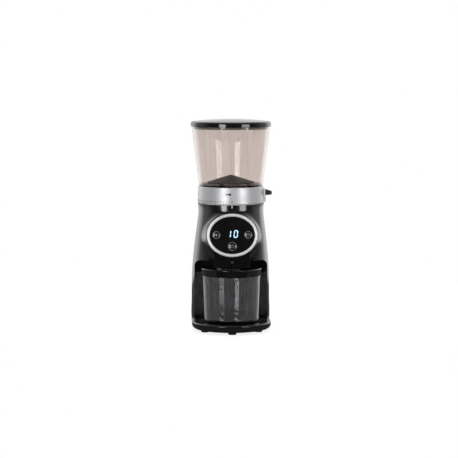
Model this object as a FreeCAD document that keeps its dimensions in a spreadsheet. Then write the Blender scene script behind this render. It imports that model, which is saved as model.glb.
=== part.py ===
"""Free-standing burr coffee grinder: bean hopper on a turning grind collar, conical burrs on a
geared motor, a round grounds container in the bay below and an oval control panel in front.
Millimetres, +Z up, front towards -Y, origin on the floor under the hopper axis."""
import FreeCAD, Part
import math
import os
import re
import Sketcher
from fcgear import fcgear, involute

Vector = FreeCAD.Vector
ACROSS = Vector(1, 0, 0)

# Driving sizes. Everything that fits against something else is worked out from these.
SIZES = [
    # feet, base and body walls
    ("foot_height", 5.0), ("foot_radius", 7.0), ("foot_front_y", 70.0), ("foot_side_x", 45.0),
    ("foot_side_y", 40.0), ("foot_rear_x", 36.0), ("foot_rear_y", 56.0), ("foot_round", 1.2),
    ("base_height", 12.5), ("base_half_width", 67.5), ("base_rear", 24.0),
    ("base_bottom_round", 8.0), ("base_top_round", 2.0), ("base_plate_height", 2.2),
    ("base_vents", 4.0), ("base_vent_length", 30.0), ("base_vent_width", 3.0), ("base_vent_pitch", 7.0),
    ("wall", 2.5), ("seat_gap", 0.05), ("fit_gap", 0.1), ("slide_gap", 0.5), ("run_gap", 0.05),
    # body sections: each one's share of the way from the base's half width to the neck's radius, and
    # its backward shift
    ("bay_height", 103.5), ("head_height", 96.3), ("neck_radius", 57.0),
    ("chest_share", 0.638), ("chest_shift", 7.4), ("waist_share", 0.333), ("waist_shift", 15.6),
    ("hip_share", 0.114), ("hip_shift", 20.9), ("knee_share", 0.038), ("knee_shift", 23.1),
    ("shin_share", 0.01), ("shin_shift", 23.8), ("section_pitch", 28.543),
    ("bay_corner_round", 12.0), ("bay_cheek", 5.0), ("bay_flare", 59.0),
    ("bay_clearance", 2.4), ("bay_reach", 70.0),
    # grind collar, slip washer and lever
    ("slip_height", 1.0), ("slip_gap", 1.9), ("slip_inset", 3.0),
    ("ring_height", 28.4), ("ring_top_radius", 55.7), ("ring_wall", 3.0), ("ring_chamfer", 0.9),
    ("ring_flange_drop", 7.7), ("ring_flange_height", 6.5), ("ring_foot_height", 2.6),
    ("boss_length", 59.3), ("boss_half_width", 9.0), ("boss_lift", 1.2), ("boss_height", 22.0),
    ("boss_round", 3.0), ("lever_length", 10.8), ("lever_half_width", 7.0), ("lever_drop", 0.8),
    ("lever_root_height", 9.8), ("lever_tip_height", 5.6), ("lever_tip_lift", 1.0),
    ("lever_round", 1.6),
    # hopper, bean guard and lid
    ("hopper_height", 101.5), ("hopper_ledge", 1.3), ("hopper_top_radius", 67.1),
    ("hopper_wall", 2.2), ("spigot_height", 6.2), ("funnel_rise", 2.2), ("funnel_drop", 7.8),
    ("throat_radius", 25.0), ("throat_drop", 5.0),
    ("guard_radius", 40.0), ("guard_edge_rise", 7.0), ("guard_apex_rise", 18.8),
    ("guard_wall", 1.8), ("guard_tip", 2.0), ("guard_leg_inner", 28.0), ("guard_leg_outer", 33.0),
    ("guard_leg_width", 2.4), ("guard_legs", 3.0),
    ("lid_overhang", 1.7), ("lid_height", 12.7), ("lid_dome", 3.6), ("lid_round", 4.4),
    ("lid_edge", 0.6), ("lid_wall", 2.4), ("lid_plug_gap", 1.6), ("lid_plug_depth", 4.0),
    ("seal_height", 2.0), ("seal_width", 1.0), ("seal_drop", 1.0), ("seal_lip", 0.5),
    # grind chamber, burrs and sweeper
    ("guide_radius", 45.5), ("guide_wall", 2.5), ("guide_rise", 14.7), ("chamber_radius", 34.0),
    ("chamber_wall", 2.5), ("chamber_depth", 20.0), ("chamber_step_drop", 17.3),
    ("chamber_floor", 3.0), ("hub_radius", 14.0), ("hub_depth", 11.0),
    ("spout_half_width", 13.0), ("spout_height", 14.0), ("spout_wall", 1.8), ("chute_back", 40.0),
    ("carrier_gap", 0.4), ("carrier_step_gap", 0.6), ("carrier_hang", 4.0), ("carrier_foot", 33.4),
    ("carrier_rim", 3.1), ("carrier_lip", 1.5), ("carrier_rise", 1.0),
    ("lug_width", 12.0), ("lug_overlap", 3.5), ("lug_height", 4.0), ("lug_root", 2.6), ("lugs", 3.0),
    ("ring_burr_radius", 25.0), ("ring_burr_height", 18.4), ("ring_burr_top", 22.6),
    ("ring_burr_waist", 20.2), ("ring_burr_land", 6.0), ("burr_gap", 0.9),
    ("cone_radius", 18.5), ("cone_land", 4.0), ("cone_mid_radius", 14.6), ("cone_mid_rise", 12.0),
    ("cone_top_radius", 8.4), ("cone_height", 25.0), ("cone_drop", 1.0),
    ("cone_flute_depth", 3.4), ("cone_flute_width", 5.6), ("cone_flutes", 6.0),
    ("cone_flute_turn", 38.0), ("flute_lip", 0.4), ("cone_tooth_depth", 0.9), ("cone_tooth_width", 1.5),
    ("cone_teeth", 24.0), ("cone_tooth_turn", 12.0),
    ("ring_tooth_depth", 1.3), ("ring_tooth_width", 2.2), ("ring_teeth", 24.0),
    ("ring_tooth_turn", 10.0),
    ("shaft_radius", 4.0), ("nut_height", 5.0), ("nut_flat", 6.5), ("shaft_end", 1.5),
    ("sweeper_radius", 31.0), ("sweeper_plate", 2.0), ("sweeper_blade", 8.0),
    ("sweeper_blade_width", 3.0), ("sweeper_inner", 21.0), ("sweeper_gap", 1.0),
    ("sweeper_hub", 9.0), ("sweeper_blades", 4.0),
    # gearbox and gears
    ("gear_module_fine", 0.75), ("gear_module_coarse", 1.0), ("pinion_teeth", 16.0),
    ("idler_teeth", 48.0), ("idler_pinion_teeth", 18.0), ("drive_teeth", 42.0),
    ("gearbox_floor", 3.5), ("gearbox_height", 33.5), ("gearbox_wall", 2.5), ("gearbox_room", 3.0),
    ("gearbox_cover_height", 3.0), ("cover_flange", 1.5), ("fine_width", 8.0),
    ("fine_lift", 2.5), ("coarse_width", 12.0), ("mesh_overrun", 1.5), ("bush_radius", 7.0),
    ("bush_height", 9.0), ("bearing_radius", 11.0), ("bearing_height", 7.0), ("pin_radius", 3.0),
    ("gear_hub", 8.0),
    # motor
    ("motor_radius", 21.0), ("motor_length", 66.0), ("motor_wall", 1.6), ("motor_shaft", 2.5),
    ("motor_nose", 7.0), ("motor_nose_height", 3.0), ("core_radius", 14.5), ("core_length", 38.0),
    ("core_drop", 12.0), ("core_slots", 12.0), ("core_slot_depth", 6.0), ("core_slot_width", 3.2),
    ("magnet_span", 130.0), ("air_gap", 0.7), ("commutator_radius", 7.0),
    ("commutator_length", 8.0), ("end_cap_height", 5.0), ("brush_width", 4.0),
    ("motor_poles", 2.0),
    # oval control panel
    ("panel_rise", 47.2), ("panel_stand", 16.6), ("panel_tilt", 8.0),
    ("bezel_half_width", 43.0), ("bezel_half_height", 36.5), ("bezel_band_x", 5.2),
    ("bezel_band_y", 5.2), ("bezel_depth", 7.0), ("bezel_round", 2.2),
    ("lens_recess", 1.4), ("lens_thickness", 2.6), ("boss_border", 1.4),
    ("boss_flare", 8.0), ("boss_depth", 50.0), ("boss_fairing", 12.0), ("boss_edge", 0.8),
    ("side_button_x", 26.8), ("side_button_y", 0.6),
    ("side_button_radius", 6.6), ("start_button_y", -18.6), ("start_button_radius", 7.6),
    ("button_gap", 0.3), ("button_proud", 0.5), ("button_rim", 1.2), ("button_flange", 1.4),
    ("button_dish", 0.5), ("stem_radius", 1.6), ("stem_length", 4.6),
    ("switch_size", 6.2), ("switch_height", 3.6), ("switch_well", 2.4), ("board_thickness", 1.6),
    ("board_half_width", 34.0), ("board_half_height", 21.0), ("board_drop", 3.0),
    ("board_depth", 14.0), ("board_round", 14.0), ("board_post_x", 19.0), ("board_post_y", 11.0),
    ("board_post_radius", 2.5), ("display_half_width", 14.0), ("display_half_height", 9.5),
    ("display_rise", 2.4),
    # chute, nose, container
    ("nose_half_width", 30.0), ("nose_inset", 3.4), ("nose_back", 36.0), ("nose_drop", 8.5),
    ("nose_rise", 14.5), ("nose_round", 4.0),
    ("nose_wall", 2.0), ("chute_front", 52.0), ("chute_wall", 1.6), ("chute_half_width", 15.0),
    ("pot_setback", 26.0), ("pot_top_radius", 49.7), ("pot_taper", 2.4), ("pot_lid_gap", 0.2),
    ("pot_height", 89.0), ("pot_wall", 2.2), ("pot_neck", 1.0), ("pot_floor", 2.4), ("pot_round", 5.0),
    ("pot_lift", 0.3), ("pot_lid_flare", 1.9), ("pot_lid_height", 12.5), ("pot_lid_wall", 2.0),
    ("pot_lid_edge", 1.2), ("pot_hole_half_width", 17.0), ("pot_hole_front", 31.0),
    ("pot_hole_back", 9.0), ("pot_hole_round", 4.0),
    # electrics and fixings
    ("gland_height", 8.5), ("gland_neck", 5.0), ("gland_flange", 8.0), ("gland_bore", 3.4),
    ("gland_flange_width", 1.8), ("gland_length", 13.0), ("gland_groove", 3.2), ("gland_block", 7.0),
    ("gland_round", 2.0), ("power_board_width", 72.0),
    ("power_board_depth", 36.0), ("power_board_y", 55.0), ("power_board_lift", 9.0),
    ("capacitor_radius", 6.0), ("capacitor_height", 14.0), ("power_post_radius", 3.0),
    ("screw_radius", 1.5), ("screw_head_radius", 2.8), ("screw_head_height", 1.8),
    ("screw_length", 8.0), ("screw_post_radius", 4.0), ("front_post_x", 24.5), ("front_post_y", 18.0),
    ("rear_post_x", 22.0), ("rear_post_y", 46.0), ("ear_offset", 5.0), ("ear_y", 6.0),
    ("ear_radius", 6.0), ("ear_height", 6.0), ("base_screw_x", 46.0), ("base_screw_front", 10.0),
    ("base_screw_rear", 30.0), ("cable_half_width", 28.0), ("cable_front", 40.0),
    ("cable_back", 70.0), ("cable_round", 6.0), ("power_post_x", 32.0), ("power_post_y", 14.0),
    ("capacitor_x", 12.0),
]

# Levels and fits, each written with the driving sizes above.
FITS = {
    "floor_z": "foot_height + base_height",
    "bay_top": "floor_z + bay_height",
    "roof_z": "bay_top + wall",
    "top_z": "bay_top + head_height",
    "ring_z": "top_z + slip_height",
    "ring_top": "ring_z + ring_height",
    "ring_bore": "ring_top_radius - ring_wall",
    "ring_flange_z": "ring_top - ring_flange_drop",
    "shin_radius": "base_half_width - (base_half_width - neck_radius) * shin_share",
    "knee_radius": "base_half_width - (base_half_width - neck_radius) * knee_share",
    "hip_radius": "base_half_width - (base_half_width - neck_radius) * hip_share",
    "waist_radius": "base_half_width - (base_half_width - neck_radius) * waist_share",
    "chest_radius": "base_half_width - (base_half_width - neck_radius) * chest_share",
    "bay_half_width": "base_half_width - bay_cheek",
    "ring_guide": "guide_radius + slide_gap",
    "slip_inner": "guide_radius + slip_gap",
    "slip_outer": "neck_radius - slip_inset",
    "hopper_z": "ring_top + seat_gap",
    "hopper_base_radius": "ring_top_radius - hopper_ledge",
    "hopper_top": "hopper_z + hopper_height",
    "spigot_radius": "ring_bore - slide_gap",
    "funnel_rim_z": "hopper_z + funnel_rise",
    "funnel_rim": "hopper_base_radius - hopper_wall + (hopper_top_radius - hopper_base_radius)"
                  " * funnel_rise / hopper_height",
    "funnel_low_z": "hopper_z - funnel_drop",
    "funnel_slope": "(funnel_rim_z - funnel_low_z) / (funnel_rim - throat_radius)",
    "guard_edge_z": "hopper_z + guard_edge_rise",
    "guard_slope": "(guard_apex_rise - guard_edge_rise) / (guard_radius - guard_tip)",
    "lid_z": "hopper_top + seat_gap",
    "lid_radius": "hopper_top_radius + lid_overhang",
    "lid_plug": "hopper_top_radius - hopper_wall - lid_plug_gap",
    "lid_shoulder_z": "lid_z + lid_height - lid_dome",
    "guide_top": "top_z + guide_rise",
    "step_z": "top_z - chamber_step_drop",
    "chamber_z": "step_z - chamber_depth",
    "chamber_under_z": "chamber_z - chamber_floor",
    "bearing_z": "chamber_under_z - bearing_height",
    "carrier_radius": "guide_radius - guide_wall - carrier_gap",
    "carrier_mouth": "carrier_radius - carrier_rim",
    "carrier_top": "guide_top + carrier_rise",
    "lug_inner": "carrier_radius - lug_root",
    "lug_reach": "ring_guide + lug_overlap",
    "burr_z": "step_z - carrier_hang",
    "burr_top": "burr_z + ring_burr_height",
    "cone_z": "burr_z - cone_drop",
    "cone_top": "cone_z + cone_height",
    "cone_bore": "shaft_radius + run_gap",
    "sweeper_z": "chamber_z + sweeper_gap",
    "shaft_top": "cone_top + nut_height + shaft_end",
    "shaft_z": "roof_z + seat_gap",
    "gearbox_z": "roof_z",
    "gearbox_in_z": "gearbox_z + gearbox_floor",
    "gearbox_top": "gearbox_z + gearbox_height",
    "cover_top": "gearbox_top + gearbox_cover_height",
    "drive_pitch": "gear_module_coarse * drive_teeth / 2",
    "idler_pitch": "gear_module_fine * idler_teeth / 2",
    "idler_y": "gear_module_coarse * (drive_teeth + idler_pinion_teeth) / 2",
    "motor_y": "idler_y + gear_module_fine * (pinion_teeth + idler_teeth) / 2",
    "drive_room": "drive_pitch + gear_module_coarse + gearbox_room",
    "idler_room": "idler_pitch + gear_module_fine + gearbox_room",
    "gearbox_flange": "chamber_radius + chamber_wall + cover_flange",
    "ear_x": "drive_room + gearbox_wall + ear_offset",
    "motor_z": "gearbox_z - motor_length",
    "fine_z": "gearbox_in_z + fine_lift",
    "coarse_z": "fine_z + fine_width + mesh_overrun",
    "core_z": "gearbox_z - core_drop - core_length",
    "panel_reach": "chest_radius - chest_shift + panel_stand",
    "panel_y": "-panel_reach",
    "panel_height": "bay_top + panel_rise",
    "lens_back": "-lens_recess - lens_thickness",
    "lens_half_width": "bezel_half_width - bezel_band_x - fit_gap",
    "lens_half_height": "bezel_half_height - bezel_band_y - fit_gap",
    "board_z": "-board_depth",
    "nose_z": "bay_top - nose_drop",
    "nose_front": "panel_reach - nose_inset",
    "nose_top": "bay_top + nose_rise",
    "pot_y": "-pot_setback",
    "pot_z": "floor_z + pot_lift",
    "pot_top": "pot_z + pot_height",
    "pot_lid_z": "pot_top + seat_gap + pot_lid_wall - pot_lid_height",
    "pot_bottom_radius": "pot_top_radius - pot_taper",
    "pot_neck_radius": "pot_top_radius - pot_neck",
    "pot_lid_bore": "pot_neck_radius + pot_lid_gap",
    "pot_lid_radius": "pot_top_radius + pot_lid_flare",
    "bay_radius": "pot_lid_radius + bay_clearance",
    "plate_half_width": "base_half_width - base_bottom_round - wall",
    "gland_z": "floor_z + gland_height",
    "rear_y": "base_rear + base_half_width",
    "power_board_z": "floor_z + power_board_lift",
    "chute_top": "chamber_z + spout_height + spout_wall",
}

doc = FreeCAD.newDocument("BurrGrinder")
sheet = doc.addObject("Spreadsheet::Sheet", "Dims")
for row, (alias, value) in enumerate(SIZES, start=1):
    sheet.set("A%d" % row, str(value))
    sheet.setAlias("A%d" % row, alias)
doc.recompute()

WORD = re.compile(r"[a-z_]+")
FUNCTIONS = ("sqrt", "sin", "cos", "tan")
pieces = []


def ref(text):
    """The expression with every size spelled out as its sheet cell."""
    def cell(match):
        word = match.group(0)
        if word in FUNCTIONS:
            return word
        if word in FITS:
            return "(" + ref(FITS[word]) + ")"
        return "Dims." + word
    return WORD.sub(cell, str(text))


def size(text):
    """The number that an expression gives now."""
    return float(sheet.evalExpression(ref(text)))


def bind(thing, prop, text):
    thing.setExpression(prop, ref(text))


def place(thing, x=None, y=None, z=None):
    for axis, text in (("x", x), ("y", y), ("z", z)):
        if text is not None:
            bind(thing, "Placement.Base." + axis, text)


def on_panel(thing):
    """Set a piece in the panel's own frame: local Z points out of the panel."""
    thing.Placement = FreeCAD.Placement(Vector(), FreeCAD.Rotation(ACROSS, size("90 - panel_tilt")))
    bind(thing, "Placement.Rotation.Angle", "90 - panel_tilt")
    place(thing, y="panel_y", z="panel_height")


def keep(thing, label):
    """Name a finished piece, so that it is written out."""
    thing.Label = label
    pieces.append(thing)
    return thing


def new_body(name):
    return doc.addObject("PartDesign::Body", name)


def origin_item(body, role):
    return [item for item in body.Origin.OriginFeatures if item.Role == role][0]


def sketch(body, plane="XY_Plane", height=None):
    drawing = body.newObject("Sketcher::SketchObject", body.Name + "_sketch")
    drawing.AttachmentSupport = [(origin_item(body, plane), "")]
    drawing.MapMode = "FlatFace"
    if height is not None:
        bind(drawing, "AttachmentOffset.Base.z", height)
    return drawing


def limit(drawing, kind, text, *where):
    """One dimension of a drawing, bound to its expression."""
    index = drawing.addConstraint(Sketcher.Constraint(kind, *where, size(text)))
    name = "%s_%d" % (kind.lower(), index)
    drawing.renameConstraint(index, name)
    bind(drawing, "Constraints." + name, text)


def pin_point(drawing, curve, end, x, y):
    for kind, axis, text in (("DistanceX", -2, x), ("DistanceY", -1, y)):
        if text == "0":
            drawing.addConstraint(Sketcher.Constraint("PointOnObject", curve, end, axis))
        else:
            limit(drawing, kind, text, -1, 1, curve, end)


def arc_between(start, stop, radius, left):
    chord = stop - start
    half = chord.Length / 2
    rise = math.sqrt(max(radius * radius - half * half, 0.0))
    across = Vector(-chord.y, chord.x, 0).normalize()
    centre = (start + stop) / 2 + across * (rise if left else -rise)
    first, last = (start, stop) if left else (stop, start)
    begin = math.atan2(first.y - centre.y, first.x - centre.x)
    finish = math.atan2(last.y - centre.y, last.x - centre.x)
    return Part.ArcOfCircle(Part.Circle(centre, Vector(0, 0, 1), radius), begin, finish)


def outline(drawing, corners):
    """A closed outline through corners (x, y) or (x, y, radius, left): the last two make the
    side that leaves this corner an arc, bending left or right of the way it goes."""
    points = [Vector(size(corner[0]), size(corner[1]), 0) for corner in corners]
    ends = []
    for index, corner in enumerate(corners):
        start, stop = points[index], points[(index + 1) % len(points)]
        if len(corner) == 2:
            curve = drawing.addGeometry(Part.LineSegment(start, stop))
            ends.append((curve, 1, 2))
        else:
            left = corner[3]
            curve = drawing.addGeometry(arc_between(start, stop, size(corner[2]), left))
            ends.append((curve, 1, 2) if left else (curve, 2, 1))
    for index, (curve, head, tail) in enumerate(ends):
        follower, follower_head, _ = ends[(index + 1) % len(ends)]
        drawing.addConstraint(Sketcher.Constraint("Coincident", curve, tail, follower, follower_head))
    for (curve, head, _), corner in zip(ends, corners):
        pin_point(drawing, curve, head, corner[0], corner[1])
        if len(corner) > 2:
            limit(drawing, "Radius", corner[2], curve)
    return drawing


def circle(drawing, radius, x="0", y="0"):
    centre = Vector(size(x), size(y), 0)
    curve = drawing.addGeometry(Part.Circle(centre, Vector(0, 0, 1), size(radius)))
    pin_point(drawing, curve, 3, x, y)
    limit(drawing, "Radius", radius, curve)
    return drawing


def ellipse(drawing, half_width, half_height):
    across, up = size(half_width), size(half_height)
    curve = drawing.addGeometry(Part.Ellipse(Vector(across, 0, 0), Vector(0, up, 0), Vector()))
    drawing.exposeInternalGeometry(curve)
    drawing.addConstraint(Sketcher.Constraint("Coincident", curve, 3, -1, 1))
    drawing.addConstraint(Sketcher.Constraint("Horizontal", curve + 1))
    limit(drawing, "Distance", "2 * (%s)" % half_width, curve + 1)
    limit(drawing, "Distance", "2 * (%s)" % half_height, curve + 2)
    return drawing


def box_corners(left, right, front, back, radius=None):
    """Corners of a rectangle, rounded where a radius is given."""
    if radius is None:
        return [(left, front), (right, front), (right, back), (left, back)]
    return [
        ("%s + %s" % (left, radius), front), ("%s - %s" % (right, radius), front, radius, True),
        (right, "%s + %s" % (front, radius)), (right, "%s - %s" % (back, radius), radius, True),
        ("%s - %s" % (right, radius), back), ("%s + %s" % (left, radius), back, radius, True),
        (left, "%s - %s" % (back, radius)), (left, "%s + %s" % (front, radius), radius, True),
    ]


def stadium(half_width, front, rear):
    """Plan of the base: two half rounds joined by straight sides."""
    return [
        (half_width, front), (half_width, rear, half_width, True),
        ("0", "%s + %s" % (rear, half_width), half_width, True), ("-(%s)" % half_width, rear),
        ("-(%s)" % half_width, front, half_width, True),
        ("0", "%s - (%s)" % (front, half_width), half_width, True),
    ]


def add(body, kind, drawing, length, reverse=False, midplane=False):
    """Pad or Pocket a drawing by a length."""
    feature = body.newObject("PartDesign::" + kind, body.Name + "_" + kind.lower())
    feature.Profile = drawing
    bind(feature, "Length", length)
    feature.Reversed = reverse
    feature.Midplane = midplane
    return feature


def drill(body, drawing, length, reverse=False):
    return add(body, "Pocket", drawing, length, reverse)


def pad(body, drawing, length, reverse=False, midplane=False):
    return add(body, "Pad", drawing, length, reverse, midplane)


def turn(body, corners, kind="Revolution"):
    feature = body.newObject("PartDesign::" + kind, body.Name + "_turned")
    drawing = outline(sketch(body, "XZ_Plane"), corners)
    feature.Profile = drawing
    feature.ReferenceAxis = (drawing, ["V_Axis"])
    feature.Angle = 360
    return feature


def turned(name, corners):
    """A piece turned about Z from its half section."""
    body = new_body(name)
    turn(body, corners)
    return body


def prism(name, corners, height, length):
    """A straight block from its plan, standing on a level."""
    body = new_body(name)
    pad(body, outline(sketch(body, height=height), corners), length)
    return body


def rod(name, radius, low, high, x="0", y="0"):
    """A round bar along Z."""
    body = new_body(name)
    pad(body, circle(sketch(body, height=low), radius, x, y), "(%s) - (%s)" % (high, low))
    return body


def repeat(body, feature, count):
    """Repeat a feature round the Z axis."""
    pattern = body.newObject("PartDesign::PolarPattern", body.Name + "_round")
    pattern.Originals = [feature]
    pattern.Axis = (origin_item(body, "Z_Axis"), [""])
    pattern.Angle = 360
    bind(pattern, "Occurrences", count)
    body.Tip = pattern
    return pattern


def edges_where(shape, test):
    return ["Edge%d" % number for number, edge in enumerate(shape.Edges, start=1) if test(edge)]


def soften(body, kind, amount, test):
    """Fillet or Chamfer the edges that the test picks out."""
    doc.recompute()
    base = body.Tip
    feature = body.newObject("PartDesign::" + kind, body.Name + "_" + kind.lower())
    feature.Base = (base, edges_where(base.Shape, test))
    bind(feature, "Radius" if kind == "Fillet" else "Size", amount)
    return feature


def level_edge(z):
    """Test for edges lying flat at a height, in the body's own frame."""
    def test(edge):
        box = edge.BoundBox
        return abs(box.ZMin - z) < 1e-4 and abs(box.ZMax - z) < 1e-4
    return test


def joined(kind, base, tool, name):
    """Part Cut, Common or Fuse of two things."""
    feature = doc.addObject("Part::" + kind, name)
    feature.Base = base
    feature.Tool = tool
    return feature


def fused(things, name):
    feature = doc.addObject("Part::MultiFuse", name)
    feature.Shapes = things
    return feature


def grouped(things, name):
    feature = doc.addObject("Part::Compound", name)
    feature.Links = things
    return feature


def fluted(body, low, high, depth, width, turn_by, count):
    """V flutes cut round a burr. low and high are (radius, level) on its face, and depth is
    towards the axis for a cone and away from it, negative, for a ring."""
    ends = []
    for (radius, level), angle in ((low, "0"), (high, turn_by)):
        drawing = sketch(body, height=level)
        lip = "%s + (%s) * flute_lip" % (radius, depth)
        root = "%s - (%s)" % (radius, depth)
        corners = []
        for along, side in ((root, "0"), (lip, "(%s) / 2" % width), (lip, "-(%s) / 2" % width)):
            corners.append((
                "(%s) * cos(%s) - (%s) * sin(%s)" % (along, angle, side, angle),
                "(%s) * sin(%s) + (%s) * cos(%s)" % (along, angle, side, angle)))
        ends.append(outline(drawing, corners))
    flute = body.newObject("PartDesign::SubtractiveLoft", body.Name + "_flute")
    flute.Profile = ends[0]
    flute.Sections = [ends[1]]
    return repeat(body, flute, count)


def on_panel_at(thing, x, y):
    on_panel(thing)
    place(thing, x, "panel_y + (%s) * sin(panel_tilt)" % y,
          "panel_height + (%s) * cos(panel_tilt)" % y)


def screw(name, x, y, z, upward=False):
    """A pan head screw whose head sits on the level z."""
    body = turned(name, [
        ("0", "screw_head_height"), ("screw_head_radius - screw_radius / 2", "screw_head_height"),
        ("screw_head_radius", "screw_head_height / 2"), ("screw_head_radius", "0"),
        ("screw_radius", "0"), ("screw_radius", "-screw_length"), ("0", "-screw_length")])
    if upward:
        body.Placement = FreeCAD.Placement(Vector(), FreeCAD.Rotation(ACROSS, 180))
    place(body, x, y, z)
    return body


# Feet: five turned rubber pads under the base plate.
foot_spots = [("0", "-foot_front_y"), ("foot_side_x", "-foot_side_y"), ("-foot_side_x", "-foot_side_y"),
              ("foot_rear_x", "foot_rear_y"), ("-foot_rear_x", "foot_rear_y")]
feet = []
for foot_x, foot_y in foot_spots:
    foot = turned("Foot", [
        ("0", "0"), ("foot_radius - foot_round", "0", "foot_round", True),
        ("foot_radius", "foot_round"), ("foot_radius", "foot_height"), ("0", "foot_height")])
    place(foot, foot_x, foot_y)
    feet.append(foot)
keep(grouped(feet, "Feet"), "feet")

# Base tray: the rounded plinth under the container, open below.
base_screw_spots = [("base_screw_x", "-base_screw_front"), ("-base_screw_x", "-base_screw_front"),
                    ("base_screw_x", "base_screw_rear"), ("-base_screw_x", "base_screw_rear")]
tray = prism("BaseTray", stadium("base_half_width", "pot_y", "base_rear"), "foot_height", "base_height")
soften(tray, "Fillet", "base_bottom_round", level_edge(size("foot_height")))
soften(tray, "Fillet", "base_top_round", level_edge(size("floor_z")))
tray_room = sketch(tray, height="foot_height")
outline(tray_room, stadium("(plate_half_width + fit_gap)", "pot_y", "base_rear"))
drill(tray, tray_room, "base_height - wall", reverse=True)
cable_way = sketch(tray, height="floor_z")
outline(cable_way, box_corners("-cable_half_width", "cable_half_width", "cable_front", "cable_back",
                               "cable_round"))
drill(tray, cable_way, "2 * wall")
tray_posts = sketch(tray, height="foot_height + base_plate_height + seat_gap")
for spot_x, spot_y in base_screw_spots:
    circle(tray_posts, "screw_post_radius", spot_x, spot_y)
pad(tray, tray_posts, "base_height - base_plate_height - wall")
tray_holes = sketch(tray, height="foot_height")
for spot_x, spot_y in base_screw_spots:
    circle(tray_holes, "screw_radius + run_gap", spot_x, spot_y)
drill(tray, tray_holes, "screw_length + fit_gap", reverse=True)
board_posts = sketch(tray, height="floor_z - wall")
for side_x in ("-power_post_x", "power_post_x"):
    for along in ("power_board_y - power_post_y", "power_board_y + power_post_y"):
        circle(board_posts, "power_post_radius", side_x, along)
pad(tray, board_posts, "power_board_lift + wall - seat_gap")
keep(tray, "base_tray")

# Base plate: the screwed bottom cover, with cooling slots under the motor.
plate = prism("BasePlate", stadium("plate_half_width", "pot_y", "base_rear"), "foot_height",
              "base_plate_height")
plate_cuts = sketch(plate, height="foot_height")
for spot_x, spot_y in base_screw_spots:
    circle(plate_cuts, "screw_radius + fit_gap", spot_x, spot_y)
for step in range(int(size("base_vents"))):
    low = "base_screw_rear + %d * base_vent_pitch - base_vent_pitch" % step
    outline(plate_cuts, box_corners("-base_vent_length / 2", "base_vent_length / 2", low,
                                    low + " + base_vent_width"))
drill(plate, plate_cuts, "base_plate_height", reverse=True)
keep(plate, "base_plate")
base_screws = [screw("BaseScrew", x, y, "foot_height", upward=True) for x, y in base_screw_spots]
keep(grouped(base_screws, "BaseScrews"), "base_screws")

# Body shell: round sections that flare backwards from the collar to the base, lofted, hollow,
# with the container bay cut out of the front and the panel boss growing from it.
BODY_SECTIONS = [
    ("base_half_width", "base_rear"), ("shin_radius", "shin_shift"), ("knee_radius", "knee_shift"),
    ("hip_radius", "hip_shift"), ("waist_radius", "waist_shift"), ("chest_radius", "chest_shift"),
    ("neck_radius", "0"), ("neck_radius", "0"),
]
WAIST = 4


def body_loft(name, inset, top):
    """The flared body, inset from its outside. Its upper sections hang below the top at a fixed
    pitch, with the gears that they clear, and the lower ones share the height that is left."""
    body = new_body(name)
    steps = len(BODY_SECTIONS) - 1
    pitch = "(section_pitch - (top_z - %s) / %d)" % (top, steps)
    waist_level = "(%s - %s * %d)" % (top, pitch, steps - WAIST)
    rounds = []
    for step, (radius, shift) in enumerate(BODY_SECTIONS):
        if step < WAIST:
            level = "floor_z + (%s - floor_z) * %d / %d" % (waist_level, step, WAIST)
        else:
            level = "%s + %s * %d" % (waist_level, pitch, step - WAIST)
        rounds.append(circle(sketch(body, height=level), "%s - %s" % (radius, inset), "0", shift))
    loft = body.newObject("PartDesign::AdditiveLoft", name + "_loft")
    loft.Profile = rounds[0]
    loft.Sections = rounds[1:]
    return body


def bay_block(name, extra):
    """The container bay, grown on every side by extra."""
    radius = "(bay_radius + %s)" % extra
    near_x = "%s * cos(bay_flare)" % radius
    near_y = "(pot_y + %s * sin(bay_flare))" % radius
    far_x = "(%s + bay_reach * sin(bay_flare))" % near_x
    far_y = "(%s - bay_reach * cos(bay_flare))" % near_y
    plan = prism(name + "Plan", [
        (far_x, far_y), (near_x, near_y, radius, True), ("0", "pot_y + %s" % radius, radius, True),
        ("-(%s)" % near_x, near_y), ("-(%s)" % far_x, far_y),
        ("-(%s)" % far_x, "-2 * bay_reach"), (far_x, "-2 * bay_reach")], "0", "top_z")
    half = "(bay_half_width + %s)" % extra
    corner = "(bay_corner_round + %s)" % extra
    crest = "(bay_top + %s)" % extra
    front = new_body(name + "Front")
    view = outline(sketch(front, "XZ_Plane"), [
        ("-" + half, "0"), (half, "0"), (half, "%s - %s" % (crest, corner), corner, True),
        ("%s - %s" % (half, corner), crest), ("%s - %s" % (corner, half), crest, corner, True),
        ("-" + half, "%s - %s" % (crest, corner))])
    pad(front, view, "6 * bay_reach", midplane=True)
    return joined("Common", plan, front, name)


def oval(name, half_width, half_height, near, far, grow=None):
    """An oval block standing off the panel plane, flared towards its far end where it grows."""
    body = new_body(name)
    front = ellipse(sketch(body, height=near), half_width, half_height)
    if grow is None:
        pad(body, front, "(%s) - (%s)" % (near, far), reverse=True)
    else:
        rear = ellipse(sketch(body, height=far), "%s + %s" % (half_width, grow),
                       "%s + %s" % (half_height, grow))
        loft = body.newObject("PartDesign::AdditiveLoft", name + "_loft")
        loft.Profile = front
        loft.Sections = [rear]
    on_panel(body)
    return body


def nose_plan(extra):
    half = "(nose_half_width + %s)" % extra
    front = "-(nose_front + %s)" % extra
    back = "-(nose_back - %s)" % extra
    return [("-" + half, back), ("-" + half, "%s + nose_round" % front, "nose_round", True),
            ("nose_round - " + half, front), (half + " - nose_round", front, "nose_round", True),
            (half, "%s + nose_round" % front), (half, back)]


def gland_layer(body, half, low, rear, length):
    """One layer of the gland, or of its slot in the rear wall: as wide above the lead as beside it,
    down to the level low, and reaching forwards from rear."""
    layer = outline(sketch(body, "XZ_Plane", height="-(%s)" % rear), box_corners(
        "-(%s)" % half, half, low, "gland_z + %s" % half, "gland_round"))
    return pad(body, layer, length)


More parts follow.
